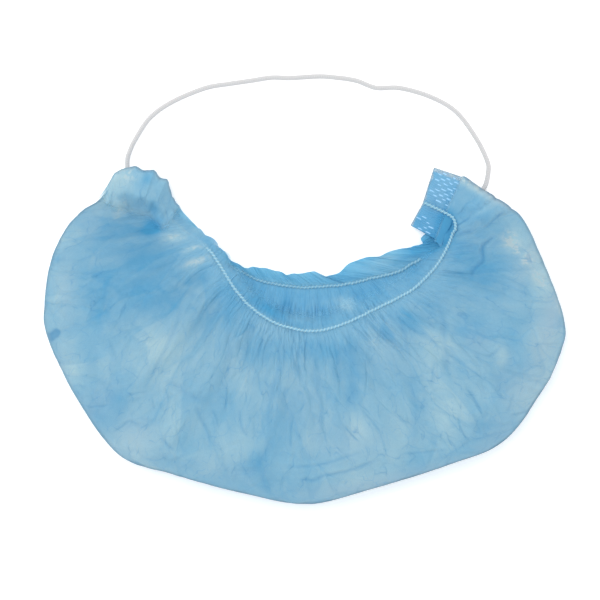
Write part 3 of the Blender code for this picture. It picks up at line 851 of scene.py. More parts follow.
# The front wall's main creases, in millimetres: width, how dark the line is, depth, and the points
# it runs through
creaseColumns = ("width", "strength", "depth", "points")
creaseRows = (
    (0.5, 0.55, 0.35, ((-5.8, -37.3), (-6.3, -45.1), (-6.3, -50.6), (-5.1, -53.6))),
    (0.5, 0.35, 0.25, ((0.5, -30.4), (-2.3, -35.3), (-5.1, -37.3))),
    (2.0, 0.28, 0.6, ((-13.7, -45.1), (-17.8, -54.3), (-22.0, -60.7), (-25.6, -64.9))),
    (0.5, 0.45, 0.25, ((6.1, -38.6), (8.2, -45.1), (10.3, -51.5))),
    (0.5, 0.7, 0.35, ((17.4, -41.6), (22.2, -47.3), (25.5, -50.1))),
    (0.6, 0.5, 0.35, ((24.4, -31.7), (28.0, -37.3), (33.6, -44.4), (37.1, -54.3), (39.3, -56.4))),
    (0.8, 0.65, 0.5, (
        (-8.1, -66.2), (3.4, -67.0), (8.9, -64.9), (17.4, -63.5), (24.4, -61.4), (31.4, -58.4),
        (37.0, -57.8),
    )),
    (0.8, 0.5, 0.4, ((-10.9, -60.3), (0.5, -61.0), (10.3, -59.2), (21.6, -55.7), (28.7, -53.6))),
    (0.5, 0.4, 0.25, ((-11.5, -69.8), (-9.5, -64.9))),
    (2.6, 0.3, 0.5, ((17.4, -0.8), (20.2, -8.5), (22.2, -19.1), (21.6, -27.6), (17.4, -38.1))),
    (0.5, 0.45, 0.25, ((55.4, -3.6), (63.2, -5.0), (69.5, -10.6))),
    (2.2, 0.28, 0.6, ((49.8, -14.7), (48.4, -24.7), (50.5, -34.5), (49.1, -54.3))),
    (1.9, 0.22, 0.5, ((54.8, -21.9), (54.0, -34.5), (54.8, -48.7))),
    (0.7, 0.4, 0.25, ((58.1, -14.7), (59.0, -23.3))),
    (0.5, 0.5, 0.3, ((65.3, -48.0), (68.7, -52.9), (69.9, -56.4))),
    (0.6, 0.4, 0.3, ((42.0, -55.7), (52.6, -54.6), (66.7, -52.9))),
    (0.5, 0.55, 0.3, ((-35.4, -24.7), (-36.2, -35.9))),
    (0.8, 0.45, 0.4, ((-29.7, -32.7), (-28.4, -43.1), (-24.2, -48.7))),
    (1.9, 0.25, 0.5, ((-95.0, -20.7), (-88.6, -29.9), (-90.0, -35.4))),
    (0.5, 0.55, 0.3, ((-100.6, -34.8), (-95.1, -34.0), (-89.3, -33.4))),
    (0.6, 0.5, 0.35, ((-87.9, -46.0), (-83.7, -43.2), (-79.4, -40.5), (-73.1, -43.2))),
    (0.5, 0.35, 0.25, ((-82.3, -29.2), (-76.0, -27.8), (-69.6, -27.1))),
    (0.5, 0.35, 0.25, ((-70.0, -29.2), (-68.2, -35.4))),
    (0.7, 0.5, 0.35, ((-66.1, -46.8), (-62.0, -51.1), (-58.4, -54.6))),
    (1.9, 0.28, 0.55, (
        (-66.8, -20.1), (-58.4, -24.3), (-51.4, -29.2), (-44.2, -30.8), (-40.1, -32.0),
    )),
    (0.6, 0.4, 0.3, ((-42.9, -34.0), (-40.1, -39.8), (-39.4, -44.6))),
    (0.8, 0.3, 0.3, ((-90.0, -1.7), (-87.2, -8.7), (-85.1, -14.4))),
    (0.8, 0.4, 0.3, ((-64.0, -24.3), (-62.0, -30.6), (-63.3, -36.8))),
    (0.9, 0.45, 0.4, ((-49.2, -32.0), (-47.1, -39.1), (-44.2, -45.4), (-42.2, -53.8))),
    (2.6, 0.25, 0.5, ((-71.2, -56.0), (-58.4, -59.5), (-44.2, -60.2))),
    (0.6, 0.55, 0.4, ((93.3, 57.5), (85.7, 51.1), (81.0, 46.9))),
    (1.0, 0.8, 0.7, (
        (89.2, 46.0), (84.3, 41.9), (81.4, 38.6), (81.4, 32.8), (76.9, 27.9), (75.1, 22.1),
    )),
    (0.5, 0.45, 0.25, ((59.5, -11.5), (58.0, -18.1), (57.2, -26.2))),
    (2.6, 0.28, 0.5, ((92.5, -1.7), (93.3, -13.2), (89.2, -21.4), (85.9, -29.6))),
    (0.7, 0.65, 0.4, ((72.8, -23.9), (76.9, -29.6), (79.3, -33.8), (81.8, -39.5))),
    (0.5, 0.45, 0.3, ((81.8, -39.5), (84.3, -36.2))),
    (0.5, 0.45, 0.3, ((97.4, -19.8), (104.0, -15.6), (110.6, -15.6))),
    (0.7, 0.4, 0.3, ((95.8, -26.4), (94.1, -32.1), (91.6, -37.9))),
    (0.5, 0.4, 0.25, ((92.5, -37.9), (99.1, -37.0), (103.1, -36.2))),
    (0.6, 0.5, 0.35, ((69.5, -36.2), (71.1, -44.4), (75.2, -50.1))),
    (0.7, 0.35, 0.3, ((75.1, -49.2), (81.8, -47.7), (88.4, -46.0))),
    (0.5, 0.3, 0.25, ((104.0, -5.0), (110.6, -5.5), (117.1, -5.0))),
    (0.6, 0.45, 0.3, ((82.0, -12.4), (86.6, -9.2), (89.9, -5.1))),
    (0.5, 0.4, 0.3, ((63.6, 31.3), (69.5, 32.8), (74.4, 31.1))),
    (0.6, 0.55, 0.4, ((68.6, 47.6), (72.4, 51.1), (76.1, 53.4))),
    (0.6, 0.5, 0.4, ((69.5, 44.3), (73.3, 46.0), (76.9, 46.9))),
    (0.6, 0.45, 0.35, ((67.8, 39.6), (72.4, 40.9), (76.1, 40.9))),
    (1.7, 0.22, 0.5, ((-33.0, 22.5), (-35.3, 6.4), (-34.3, -8.3), (-35.7, -28.1))),
    (1.2, 0.35, 0.45, ((-12.7, -0.5), (-11.8, -13.8), (-16.0, -31.3), (-16.9, -49.7))),
    (1.0, 0.35, 0.4, ((7.0, -0.5), (4.7, -18.4), (7.5, -35.9), (6.1, -54.3))),
    (1.4, 0.4, 0.45, ((59.0, 17.9), (62.7, 6.4), (64.1, -8.3), (65.9, -23.5))),
    (1.2, 0.35, 0.45, ((-54.1, 14.7), (-59.2, 0.9), (-66.5, -13.8), (-73.5, -27.6))),
    (1.1, 0.35, 0.4, ((42.0, 9.2), (45.7, -1.4), (47.5, -12.9))),
    (1.7, 2.2, 0.6, ((-117.4, -3.2), (-115.8, -2.3), (-113.5, -0.5), (-111.6, 1.4))),
)


# A crease's section is a valley, exp(-(d / width)^2) deep, with a low rise at 1.8 widths on both
# sides; it fades towards its ends
def namedCreases(points):
    height = np.zeros(points.shape[:2])
    crease = np.zeros(points.shape[:2])
    along = np.linspace(0, 1, 60)
    toEnds = smoothStep(np.minimum(along, 1 - along) / 0.25)
    for row in named(creaseColumns, creaseRows):
        width, depth = row["width"] * millimetre, row["depth"] * millimetre
        path = alongCurve(np.array(row["points"]) * millimetre, along)
        inside = (points[..., :2] > path.min(axis=0) - 4 * width).all(axis=-1)
        inside &= (points[..., :2] < path.max(axis=0) + 4 * width).all(axis=-1)
        near = points[inside][:, None, :2] - path[None]
        away = np.hypot(near[..., 0], near[..., 1])
        off = away.min(axis=1) / width
        fade = toEnds[away.argmin(axis=1)]
        height[inside] -= depth * fade * (bell(off) - 0.45 * bell((off - 1.8) / 0.8))
        crease[inside] = np.maximum(crease[inside], row["strength"] * fade * bell(off * 1.1))
    return height, crease


# Where the cloth is paler or deeper than its mean: the middle of each patch and its reach both
# ways, in millimetres, how far it is turned and how strong it is, paler above 0. Most are the
# cloth's own uneven tone; some pale ones, at the left end and on the back frill right of the
# middle, are painted light on cloth that lies in shade.
patchColumns = ("x", "y", "reachX", "reachY", "turnDeg", "strength")
toneRows = (
    (-30.7, -50.1, 7.8, 7.4, 0, 0.45),
    (1.5, -50.6, 7.8, 5.1, 0, 0.35),
    (23.6, -45.1, 5.1, 7.8, -15, 0.45),
    (42.0, -45.1, 6.9, 11.0, 0, 0.4),
    (59.5, -9.2, 8.7, 12.9, -15, 0.6),
    (26.4, -68.1, 17.5, 4.6, 14, 0.45),
    (-29.3, -23.9, 7.4, 11.0, -10, 0.3),
    (-66.5, -9.2, 22.1, 12.0, 0, 0.3),
    (-52.7, -42.3, 9.2, 10.1, 0, 0.3),
    (-79.4, -50.6, 7.8, 6.9, 0, 0.5),
    (-107.0, -15.2, 6.0, 12.0, 20, 0.6),
    (-113.5, 19.3, 6.9, 19.3, -8, 0.5),
    (-96.0, 63.0, 6.4, 7.4, -30, 0.45),
    (62.7, -38.2, 7.4, 12.0, 0, 0.45),
    (89.9, -10.1, 3.2, 6.4, 8, 0.6),
    (111.9, -5.1, 7.8, 9.2, 10, 0.65),
    (100.4, -29.4, 7.4, 9.2, -35, 0.6),
    (108.2, -22.1, 7.4, 12.0, -30, 0.35),
    (99.1, 46.0, 6.4, 13.8, 38, 0.55),
    (112.9, 23.9, 4.6, 15.6, 26, 0.5),
    (94.5, 40.9, 3.7, 3.7, 0, 0.9),
    (102.3, 34.5, 2.8, 1.8, 20, 1.0),
    (107.3, 24.4, 3.7, 2.8, -45, 0.9),
    (117.9, 10.6, 2.8, 2.3, -30, 1.3),
    (80.6, 65.3, 12.0, 2.3, -27, 0.8),
    (19.0, 12.9, 5.5, 3.2, -15, 0.6),
    (-59.7, 43.2, 4.1, 1.8, 0, 0.6),
    (-51.4, 38.2, 4.1, 1.4, 20, 0.5),
    (-49.5, 32.2, 4.6, 1.8, 20, 0.6),
    (-84.9, 57.0, 3.7, 3.2, 60, 0.5),
    (-84.9, 69.9, 6.4, 5.5, 40, 0.5),
    (-71.2, 14.7, 21.2, 9.2, -10, -0.5),
    (-94.2, 14.7, 7.4, 13.8, 0, -0.4),
    (-36.7, 14.7, 12.0, 7.4, -45, -0.45),
    (-75.7, 37.7, 13.8, 8.3, 0, -0.4),
    (85.3, 26.2, 12.0, 9.2, 0, -0.45),
    (76.1, 0.9, 15.6, 7.4, -20, -0.35),
    (-2.2, -8.3, 27.6, 5.5, 0, -0.35),
    (-68.8, 56.6, 3.2, 3.7, 0, -0.45),
    (-72.1, 69.9, 2.3, 3.2, -30, -0.45),
    (-69.8, 47.8, 5.1, 3.7, 40, -1.0),
    (54.0, 40.0, 5.0, 3.2, 25, -0.45),
    (36.0, 33.5, 9.0, 4.0, 20, 0.55),
    (-56.0, 49.0, 7.0, 7.0, 0, 0.25),
    (25.0, -55.0, 22.0, 16.0, 0, 0.22),
    (16.0, -64.0, 8.0, 4.0, 10, 0.35),
    (-60.0, 26.0, 12.0, 8.0, 0, -0.35),
    (94.5, 0.9, 10.0, 7.0, 0, -0.3),
    (103.6, 33.1, 6.0, 6.0, 0, 0.45),
    (108.3, 14.7, 6.0, 6.0, 0, 0.35),
    (53.0, 5.0, 10.0, 6.0, 0, -0.3),
    (-29.8, -31.3, 8.0, 8.0, 0, -0.25),
    (73.5, 56.0, 10.0, 14.0, 0, -0.1),
    (74.0, 36.0, 8.0, 8.0, 0, -0.3),
    (65.0, 24.0, 6.0, 6.0, 0, -0.2),
    (65.5, 52.4, 3.7, 3.7, 0, -0.6),
    (64.9, 47.0, 5.0, 9.0, 10, -0.6),
    (57.7, 40.9, 7.4, 4.1, 25, -0.5),
    (-16.0, 10.1, 8.3, 3.2, -30, -0.4),
    (-24.2, -59.8, 7.4, 3.7, 30, -0.35),
    (50.3, -31.3, 2.8, 13.8, 0, -0.22),
    (20.9, -17.5, 2.8, 14.7, 0, -0.18),
    (-84.9, -31.3, 5.5, 10.1, -15, -0.3),
)

# Small patches that are crushed and nearly white, by the same columns
wornRows = (
    (94.5, 41.9, 2.6, 3.4, 30, 1.3),
    (97.2, 37.7, 1.8, 1.4, 0, 1.2),
    (102.3, 34.5, 2.6, 2.0, 0, 1.3),
    (100.9, 32.2, 1.4, 1.4, 0, 1.0),
    (106.9, 25.3, 3.4, 1.8, -50, 1.2),
    (109.6, 21.6, 1.8, 1.4, -40, 0.8),
    (117.4, 11.0, 3.7, 1.8, -50, 0.95),
    (-59.7, 43.2, 3.7, 1.4, 0, 0.45),
    (-51.4, 38.2, 4.1, 0.9, 15, 0.35),
    (-49.5, 32.2, 5.1, 1.4, 20, 0.45),
    (-84.9, 57.0, 4.1, 2.3, 70, 0.35),
    (-80.4, 71.8, 3.7, 2.8, 40, 0.35),
    (19.0, 13.3, 4.6, 2.3, -15, 0.1),
    (81.6, 66.2, 15.6, 1.8, -27, 0.55),
    (69.6, 72.7, 7.4, 1.4, -24, 0.6),
)

# Where the cloth is milky and greyer, by the same columns: its margins, where both walls lie close
milkyRows = (
    (110.6, -1.4, 7.4, 17.5, -8, 0.75),
    (99.1, -26.7, 12.0, 10.1, 40, 0.55),
    (87.6, -47.4, 13.8, 6.4, 40, 0.45),
    (115.2, 14.7, 4.1, 13.8, -15, 0.6),
    (103.7, 32.2, 6.4, 13.8, -30, 0.45),
    (89.9, 63.0, 10.1, 4.6, -35, 0.55),
    (-78.0, -49.7, 12.0, 12.0, -40, 0.6),
    (-94.2, -31.3, 6.4, 10.1, -50, 0.35),
    (43.9, -65.8, 27.6, 3.7, 15, 0.45),
    (16.3, -71.8, 23.0, 4.6, 5, 0.4),
    (-109.8, 19.3, 5.5, 23.0, 0, 0.3),
    (-101.1, 53.8, 6.4, 10.1, 40, 0.3),
    (-112.5, -17.5, 4.6, 12.0, -15, 0.3),
    (-34.3, -63.5, 18.4, 6.4, -10, 0.25),
    (20.9, -49.7, 18.4, 12.0, 0, 0.3),
    (-4.4, -31.3, 12.0, 8.3, 0, 0.15),
    (78.4, -3.7, 5.5, 5.5, 0, 0.35),
    (37.0, -6.0, 12.0, 13.8, 30, 0.2),
)


# The sum of a table's patches, each strength * exp(-(distance / reach)^2)
def patches(points, rows):
    total = np.zeros(points.shape[:-1])
    for patch in named(patchColumns, rows):
        x = points[..., 0] / millimetre - patch["x"]
        y = points[..., 1] / millimetre - patch["y"]
        x, y = turned(x, y, patch["turnDeg"])
        total += patch["strength"] * bell(np.hypot(x / patch["reachX"], y / patch["reachY"]))
    return total


# The pouch's grid and where each of its points lies: the distances along its section from both
# rims and from the fold, how far it is out on a frill, from 0 to 1, and how free of the tabs
def pouchPlaces():
    share, points, rim, foldRow, backRim = pouchGrid()
    steps = np.linalg.norm(np.diff(points, axis=0), axis=2)
    section = np.concatenate([np.zeros((1, len(share))), np.cumsum(steps, axis=0)])
    at = SimpleNamespace(share=share, points=points, rim=rim, foldRow=foldRow, backRim=backRim)
    at.wide = np.broadcast_to(share, section.shape)
    at.length = section[-1]
    at.fromFront = section - section[rim]
    at.fromBack = section[backRim] - section
    at.fromFold = np.abs(section - section[foldRow])
    at.toEnd = np.minimum(share, 1 - share)
    at.calm = smoothStep(at.toEnd / cloth["endCalm"])
    at.frill = np.zeros(section.shape)
    at.frill[:rim] = (-at.fromFront / pouch["frill"])[:rim]
    at.frill[backRim + 1 :] = (-at.fromBack / pouch["frill"])[backRim + 1 :]
    return at


# The relief: gathers, crumples and named creases added up, calmed near the fold, the tabs and the
# frills' free edges, with pleats by the tabs and waves along the frills
def pouchRelief(at):
    seed = pouch["seed"]
    shape = at.wide.shape
    frontHeight, frontCrease = gathers(at.wide, at.fromFront, seed, cloth["frontMiddle"])
    backHeight, backCrease = gathers(at.wide, at.fromBack, seed + 200, cloth["backMiddle"])
    flatAlong = at.wide * pouch["foldLength"]
    crumpleHeight, crumpleCrease, facetShading = crumples(flatAlong, at.fromFront, seed + 400)
    namedHeight, namedLine = np.zeros(shape), np.zeros(shape)
    wall = slice(at.rim, at.foldRow + 1)
    namedHeight[wall], namedLine[wall] = namedCreases(at.points[wall])
    full = readTable(cloth["fullnessColumns"], cloth["frontFullness"], at.share)
    fullness = full["gather"] * (1 + cloth["gathersVary"] * noise(at.share * 15, 0.4, seed + 610))
    softer = 1 - bell(at.fromFront / cloth["crumpleReach"]) * (1 - full["crumple"])
    fromRims = np.minimum(np.abs(at.fromFront), np.abs(at.fromBack))
    inWall = smoothStep(fromRims / cloth["rimCalm"])
    byFold = 0.25 + 0.75 * smoothStep(at.fromFold / cloth["foldCalm"])
    hidden = rising(np.abs(at.fromBack), *cloth["hiddenFrom"])
    seenHeight, seenCrease = (least + (1 - least) * hidden for least in cloth["leastSeen"])
    height = frontHeight * fullness + backHeight * cloth["backFullness"] * seenHeight
    height = height + crumpleHeight * softer * inWall + namedHeight * cloth["namedRelief"]
    height = height * byFold * at.calm * (1 - 0.80 * smoothStep(at.frill))
    pleats = np.sin(2 * math.pi * cloth["endPleats"] * at.fromFront / at.length)
    wide, narrow = cloth["endPleatShares"]
    byTabs = bell(at.toEnd / wide) * smoothStep(at.toEnd / narrow)
    height = height + cloth["endPleatDepth"] * pleats * byTabs
    wave = noise(at.wide * 40, 0.5 + at.frill, seed + 500)
    wave = wave + 0.25 * noise(at.wide * 80, at.frill, seed + 501)
    height = height + cloth["frillWave"] * at.frill * wave * at.calm
    # The creases are painted darker in the material: partly doubled cloth, partly painted shade in
    # the folds
    crease = np.maximum(frontCrease * fullness, backCrease * seenCrease)
    crease = np.maximum(crease, crumpleCrease * softer * inWall * 0.8)
    crease = crease * (1 - 0.6 * smoothStep(at.frill))
    crease = np.maximum(crease, namedLine * cloth["namedStrength"])
    # A dark line along the side fold: painted shade where the cloth turns under, partly doubled cloth
    # seen edge on
    foldLine = cloth["foldLine"] * bell(at.fromFold / cloth["foldLineWidth"])
    return height, np.maximum(crease, foldLine), facetShading * inWall


# The dressed cloth: the model's own middle moved along its normals by the relief. The front frill
# is longer by its ripples, the back frill's free edge follows its own line, and all of it stays
# clear of the surface and of the right tab.
def dressedPoints(at, height):
    moved = at.points + gridNormals(at.points) * height[..., None]
    rim, backFrill = at.rim, slice(at.backRim + 1, None)
    ripple = 0.0
    for size, waves, row, seed in cloth["rippleRows"]:
        ripple = ripple + size * noise(at.share * waves, row, pouch["seed"] + seed)
    ripple = ripple * cloth["frillLengthVaries"] * at.calm
    ripple = ripple + cloth["lastRipple"] * bell((1 - at.share) / 0.05)
    moved[:rim] = moved[rim] + (moved[:rim] - moved[rim]) * (1 + ripple)[:, None]
    freeEdge = alongCurve(np.array(cloth["backFrillEdge"]) * millimetre, at.share)
    moved[backFrill, :, :2] += at.frill[backFrill, :, None] * (freeEdge - moved[-1, :, :2])
    moved[..., 2] = np.maximum(moved[..., 2], pouch["restingHeight"])
    front = slice(0, at.foldRow + 1)
    onTab = onSlab * rising(at.share, *cloth["onTabFrom"])
    moved[front, :, 2] = np.maximum(moved[front, :, 2], onTab)
    return moved


# What the material reads at each point. 'inner' is cloth seen inside the mouth or with a second
# layer close behind it, painted darker with the inside colour as painted shade. 'edge' fades a free
# edge out, and the outline's line is a thin dark line painted along it: painted shade where the
# cloth turns away.
def pouchLook(at, moved, crease, facetShading):
    rim, foldRow, backRim = at.rim, at.foldRow, at.backRim
    overMouth = rising(at.share, *cloth["mouthFrom"]) * rising(1 - at.share, *cloth["mouthTo"])
    edge = np.ones(at.wide.shape)
    edge[:rim] = 1 - 0.85 * overMouth * rising(at.frill[:rim], *cloth["clearFrom"])
    # Cloth inside the mouth takes the darker inside colour: painted shade where little light reaches
    inner = np.zeros(at.wide.shape)
    inner[foldRow + 1 :] = bell(at.fromBack / cloth["insideReach"])[foldRow + 1 :]
    inner[backRim + 1 :] *= 0.5
    inner[:rim] = 0.5 * (1 - edge[:rim])
    # Near the front rim and by the right tab the cloth counts as inner too: it passes less light and
    # takes some of the painted shade of the inside colour
    strength, run = cloth["backedRim"]
    byEnd = cloth["backedEnd"] * rising(at.wide, *cloth["backedFrom"])
    backed = np.maximum(strength * bell(at.fromFront / run), byEnd)
    inner[: foldRow + 1] = np.maximum(inner, backed)[: foldRow + 1]
    # 'deeper' lowers the tone inside the mouth and on the frills, most on the back frill: painted
    # shade
    deeper = np.maximum(inner, smoothStep(at.frill / 0.3) * at.calm)
    deeper[backRim + 1 :] *= 1.5
    away = unit((at.points[foldRow] - at.points[rim]) * level)
    reach = ((moved - at.points[foldRow]) * away).sum(axis=-1)
    inward = reach[rim : backRim + 1].max(axis=0) - reach
    # A thin dark line painted along the outline near the side fold: painted shade where the cloth
    # turns away
    outlineShade = np.interp(at.share, *np.transpose(cloth["outlineShadeStrength"]))
    outlineShade = outlineShade * bell(inward / cloth["outlineShadeWidth"]) * bell(at.fromFold / cloth["outlineShadeReach"])
    tone = cloth["base"] + facetShading - cloth["deeper"] * deeper
    milkyEnd = bell(inward / cloth["milkyHem"]) * rising(at.share, *cloth["endFrom"])
    return {
        "crease": crease,
        "tone": tone + cloth["patch"] * patches(moved, toneRows),
        "worn": patches(moved, wornRows),
        "milky": patches(moved, milkyRows) + milkyEnd,
        "inner": inner,
        "edge": edge,
        "outlineShade": outlineShade,
    }


# The cloth's end laps over the right tab: the last column carried on towards the cut end, up onto
# the slab, and thinning out to nothing
def lapOver(points, look, uv, foldRow):
    run = np.arange(1, cloth["lapColumns"] + 1) * cloth["lapStep"]
    lap = points[:, -1:] + run[None, :, None] * rightTab["across"]
    lap[..., 2] += smoothStep(run / cloth["lapRise"]) * (onSlab - lap[..., 2])
    wider = {name: np.repeat(values[:, -1:], len(run), axis=1) for name, values in look.items()}
    start = cloth["lapFadeFrom"]
    fade = 1 - smoothStep((run - start) / (run[-1] - start))
    # Where the lap thins out, fade * (1 - fade) raises its tone: painted light that evens out the
    # shade the half-clear lap casts on the slab
    wider["tone"] = cloth["lapTone"] + cloth["patch"] * patches(lap, toneRows) + fade * (1 - fade)
    wider["edge"] = wider["edge"] * fade
    wider["edge"][foldRow + 1 :] = 0
    further = np.repeat(uv[:, -1:], len(run), axis=1)
    further[..., 0] += run
    look = {name: np.concatenate([look[name], wider[name]], axis=1) for name in look}
    return np.concatenate([points, lap], axis=1), look, np.concatenate([uv, further], axis=1)


# The paint goes from deep to pale by lay = tone + cloud + crumbs + fibres, each times its share
# here, and what is milky, inner, worn, creased or on the outline is mixed in over it. The inside
# colour is painted shade in the mouth, the crease colour is partly doubled cloth and partly painted
# shade in the folds, and the outline colour is painted shade.
nonwoven = {
    "deep": (0.076, 0.370, 0.633, 1.0),
    "pale": (0.575, 0.775, 0.785, 1.0),
    "milky": (0.50, 0.63, 0.69, 1.0),
    # The inside colour: painted shade in the mouth, partly the deeper look of doubled cloth
    "inside": (0.078, 0.31, 0.525, 1.0),
    # The crease colour: partly doubled cloth, partly painted shade in the folds
    "crease": (0.048, 0.235, 0.47, 1.0),
    "white": (0.66, 0.77, 0.74, 1.0),
    # The outline's dark grey: painted shade
    "outlineShade": (0.10, 0.125, 0.14, 1.0),
    "lit": (0.19, 0.506, 0.655, 1.0),
    "toneShare": 0.9,
    "cloudShare": 0.45,
    "crumbShare": 0.20,
    "fibreShare": 0.25,
    "lowerBy": 0.095,
    "milkyShare": 0.8,
    "insideShare": 0.4,
    "wornShare": 1.6,
    "creaseShare": 0.50,
    "creaseMost": 0.60,
    "cloudScale": 55.0,
    "bendScale": 90.0,
    "crushScale": 210.0,
    "crumbScale": 420.0,
    "crushed": (0.42, 0.54),
    "crumbled": (0.46, 0.53),
    "fibreScale": (4200.0, 1000.0),
    "fibreTurnsDeg": (12, -48),
    "lineColumns": ("scale", "turnDeg", "width", "strength", "from", "to"),
    "lineRows": (
        ((170.0, 60.0), 12, 0.05, 0.90, 0.38, 0.54),
        ((120.0, 85.0), -38, 0.035, 0.75, 0.62, 0.48),
    ),
    "lineBend": (1.6, 1.6, 0.0),
    "cover": 0.94,
    "coverShares": (0.20, 0.10, 0.06, 0.1),
    "through": 0.50,
    "roughness": 0.62,
    "sheen": 0.04,
    "shine": 0.25,
    "bumpDepth": 0.00003,
    "bump": 0.8,
}


# The fine creases: lines between the cells of a turned and bent grid, where clouds and crushes are,
# painted dark: partly doubled cloth, partly painted shade in the folds
def fineLines(finish, cloud):
    crush = finish.noise(finish.place(), nonwoven["crushScale"], detail=3.0)
    bend = finish.noise(finish.place(), nonwoven["bendScale"], output="Color")
    crush = crush.ramp(*nonwoven["crushed"])
    total = 0.0
    for row in named(nonwoven["lineColumns"], nonwoven["lineRows"]):
        flat = finish.flat(row["scale"], row["turnDeg"])
        settings = {"operation": "MULTIPLY_ADD"}
        inputs = {0: bend, 1: nonwoven["lineBend"], 2: flat}
        bent = finish.add("ShaderNodeVectorMath", settings, inputs)
        settings = {"voronoi_dimensions": "2D", "feature": "DISTANCE_TO_EDGE"}
        gap = finish.add("ShaderNodeTexVoronoi", settings, {"Vector": bent, "Scale": 1.0})
        line = (1.0 - gap.ramp(0.0, row["width"])) * cloud.ramp(row["from"], row["to"])
        total = line * crush * row["strength"] + total
    return total


# Nonwoven: matte blue, with fibres laid in two directions, partly clear so that the layer below
# shows through, and a share of the light passing through it
def nonwovenFinish(name, moreCover, through):
    finish = Finish(name)
    tone, crease, inner = (finish.attribute(label) for label in ("tone", "crease", "inner"))
    fibres = 0.0
    for turnDeg in nonwoven["fibreTurnsDeg"]:
        fibres = finish.noise(finish.flat(nonwoven["fibreScale"], turnDeg), 1.0, detail=1.0) + fibres
    fibres = fibres * (1 / len(nonwoven["fibreTurnsDeg"]))
    cloud = finish.noise(finish.place(), nonwoven["cloudScale"], detail=4.0, distortion=0.6)
    crumbs = finish.noise(finish.place(), nonwoven["crumbScale"], detail=4.0)
    crease = crease + fineLines(finish, cloud) * (1.0 - inner)
    lay = tone * nonwoven["toneShare"] + (cloud - 0.5) * nonwoven["cloudShare"]
    lay = lay + (crumbs - 0.5) * nonwoven["crumbShare"] + fibres * nonwoven["fibreShare"]
    lay = (lay - nonwoven["lowerBy"]).clamp()
    milky = (finish.attribute("milky") * nonwoven["milkyShare"]).clamp()
    inside = (inner * nonwoven["insideShare"]).clamp()
    worn = finish.attribute("worn") * crumbs.ramp(*nonwoven["crumbled"]) * nonwoven["wornShare"]
    # Creases darken the paint towards the crease colour: partly doubled cloth, partly painted shade
    dark = (crease * nonwoven["creaseShare"]).math("MINIMUM", nonwoven["creaseMost"])
    paint = finish.mix(lay, nonwoven["deep"], nonwoven["pale"])
    paint = finish.mix(milky, paint, nonwoven["milky"])
    # The inside colour mixed in where the cloth is inner: painted shade
    paint = finish.mix(inside, paint, nonwoven["inside"])
    paint = finish.mix(worn.clamp(), paint, nonwoven["white"])
    paint = finish.mix(dark, paint, nonwoven["crease"])
    # The outline's line of painted shade over it all
    paint = finish.mix(finish.attribute("outlineShade"), paint, nonwoven["outlineShade"])
    byFibres, byCrease, byTone, byInner = nonwoven["coverShares"]
    cover = (fibres - 0.5) * byFibres + crease * byCrease - (tone - 0.5) * byTone + inner * byInner
    cover = (cover + (nonwoven["cover"] + moreCover)).clamp() * finish.attribute("edge")
    normal = finish.bump(fibres, nonwoven["bumpDepth"], nonwoven["bump"])
    shine = {"Sheen_Weight": nonwoven["sheen"], "Specular_IOR_Level": nonwoven["shine"]}
    matte = finish.principled(paint, nonwoven["roughness"], normal, **shine)
    lit = finish.add("ShaderNodeBsdfTranslucent", {}, {"Color": nonwoven["lit"], "Normal": normal})
    clear = finish.add("ShaderNodeBsdfTransparent")
    fabric = finish.blend((1.0 - inner * 0.8) * through, matte, lit)
    return finish.show(finish.blend(cover, clear, fabric))


# A grid of one piece: its points with their normals, flat map and look
def clothGrid(points, look, uv):
    return {"points": points, "normals": gridNormals(points), "uv": uv, "look": look}


# The panels are runs of the grid's rows, each with its frill, and the front one is in two halves
def addPanel(name, grid, first, last, left, right, finish):
    rows, columns = slice(first, last + 1), slice(left, right + 1)
    points, normals, uv = (grid[key][rows, columns] for key in ("points", "normals", "uv"))
    look = {label: values[rows, columns] for label, values in grid["look"].items()}
    faces = gridFaces(*points.shape[:2])
    panel = addMesh(name, points.reshape(-1, 3), faces, finish, look, uv.reshape(-1, 2), normals)
    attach(panel, "root")
    return panel


# The panels are made from the grid, and the model's shell is hidden. A panel's flat length, its
# share of the side fold's, and its sections are worked out but not used.
def makePanels():
    at = pouchPlaces()
    height, crease, facetShading = pouchRelief(at)
    at.moved = dressedPoints(at, height)
    look = pouchLook(at, at.moved, crease, facetShading)
    uv = np.stack([at.wide * pouch["foldLength"], at.fromFront], axis=-1)
    plain = clothGrid(at.moved, look, uv)
    lapping = clothGrid(*lapOver(at.moved, look, uv, at.foldRow))
    finish = nonwovenFinish("nonwovenBlue", 0.0, nonwoven["through"])
    under, bottom = at.foldRow + pouch["rowsUnder"], len(at.moved) - 1
    middle, end = len(at.share) // 2, len(at.share) - 1
    for name, grid, first, last, left, right in (
        ("front_panel_left", plain, 0, under, 0, middle),
        ("front_panel_right", lapping, 0, under, middle, end + cloth["lapColumns"]),
        ("back_panel", plain, under, bottom, 0, end),
    ):
        panel = addPanel(name, grid, first, last, left, right, finish)
        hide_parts("cover_shell")
        across = grid["uv"][first, :, 0]
        length = float(across[right] - across[left])
        sections = (grid["uv"][last, :, 1] - grid["uv"][first, :, 1])[left : right + 1]
    return at, finish


dressed, nonwovenBlue = makePanels()
print("pouch panels made")


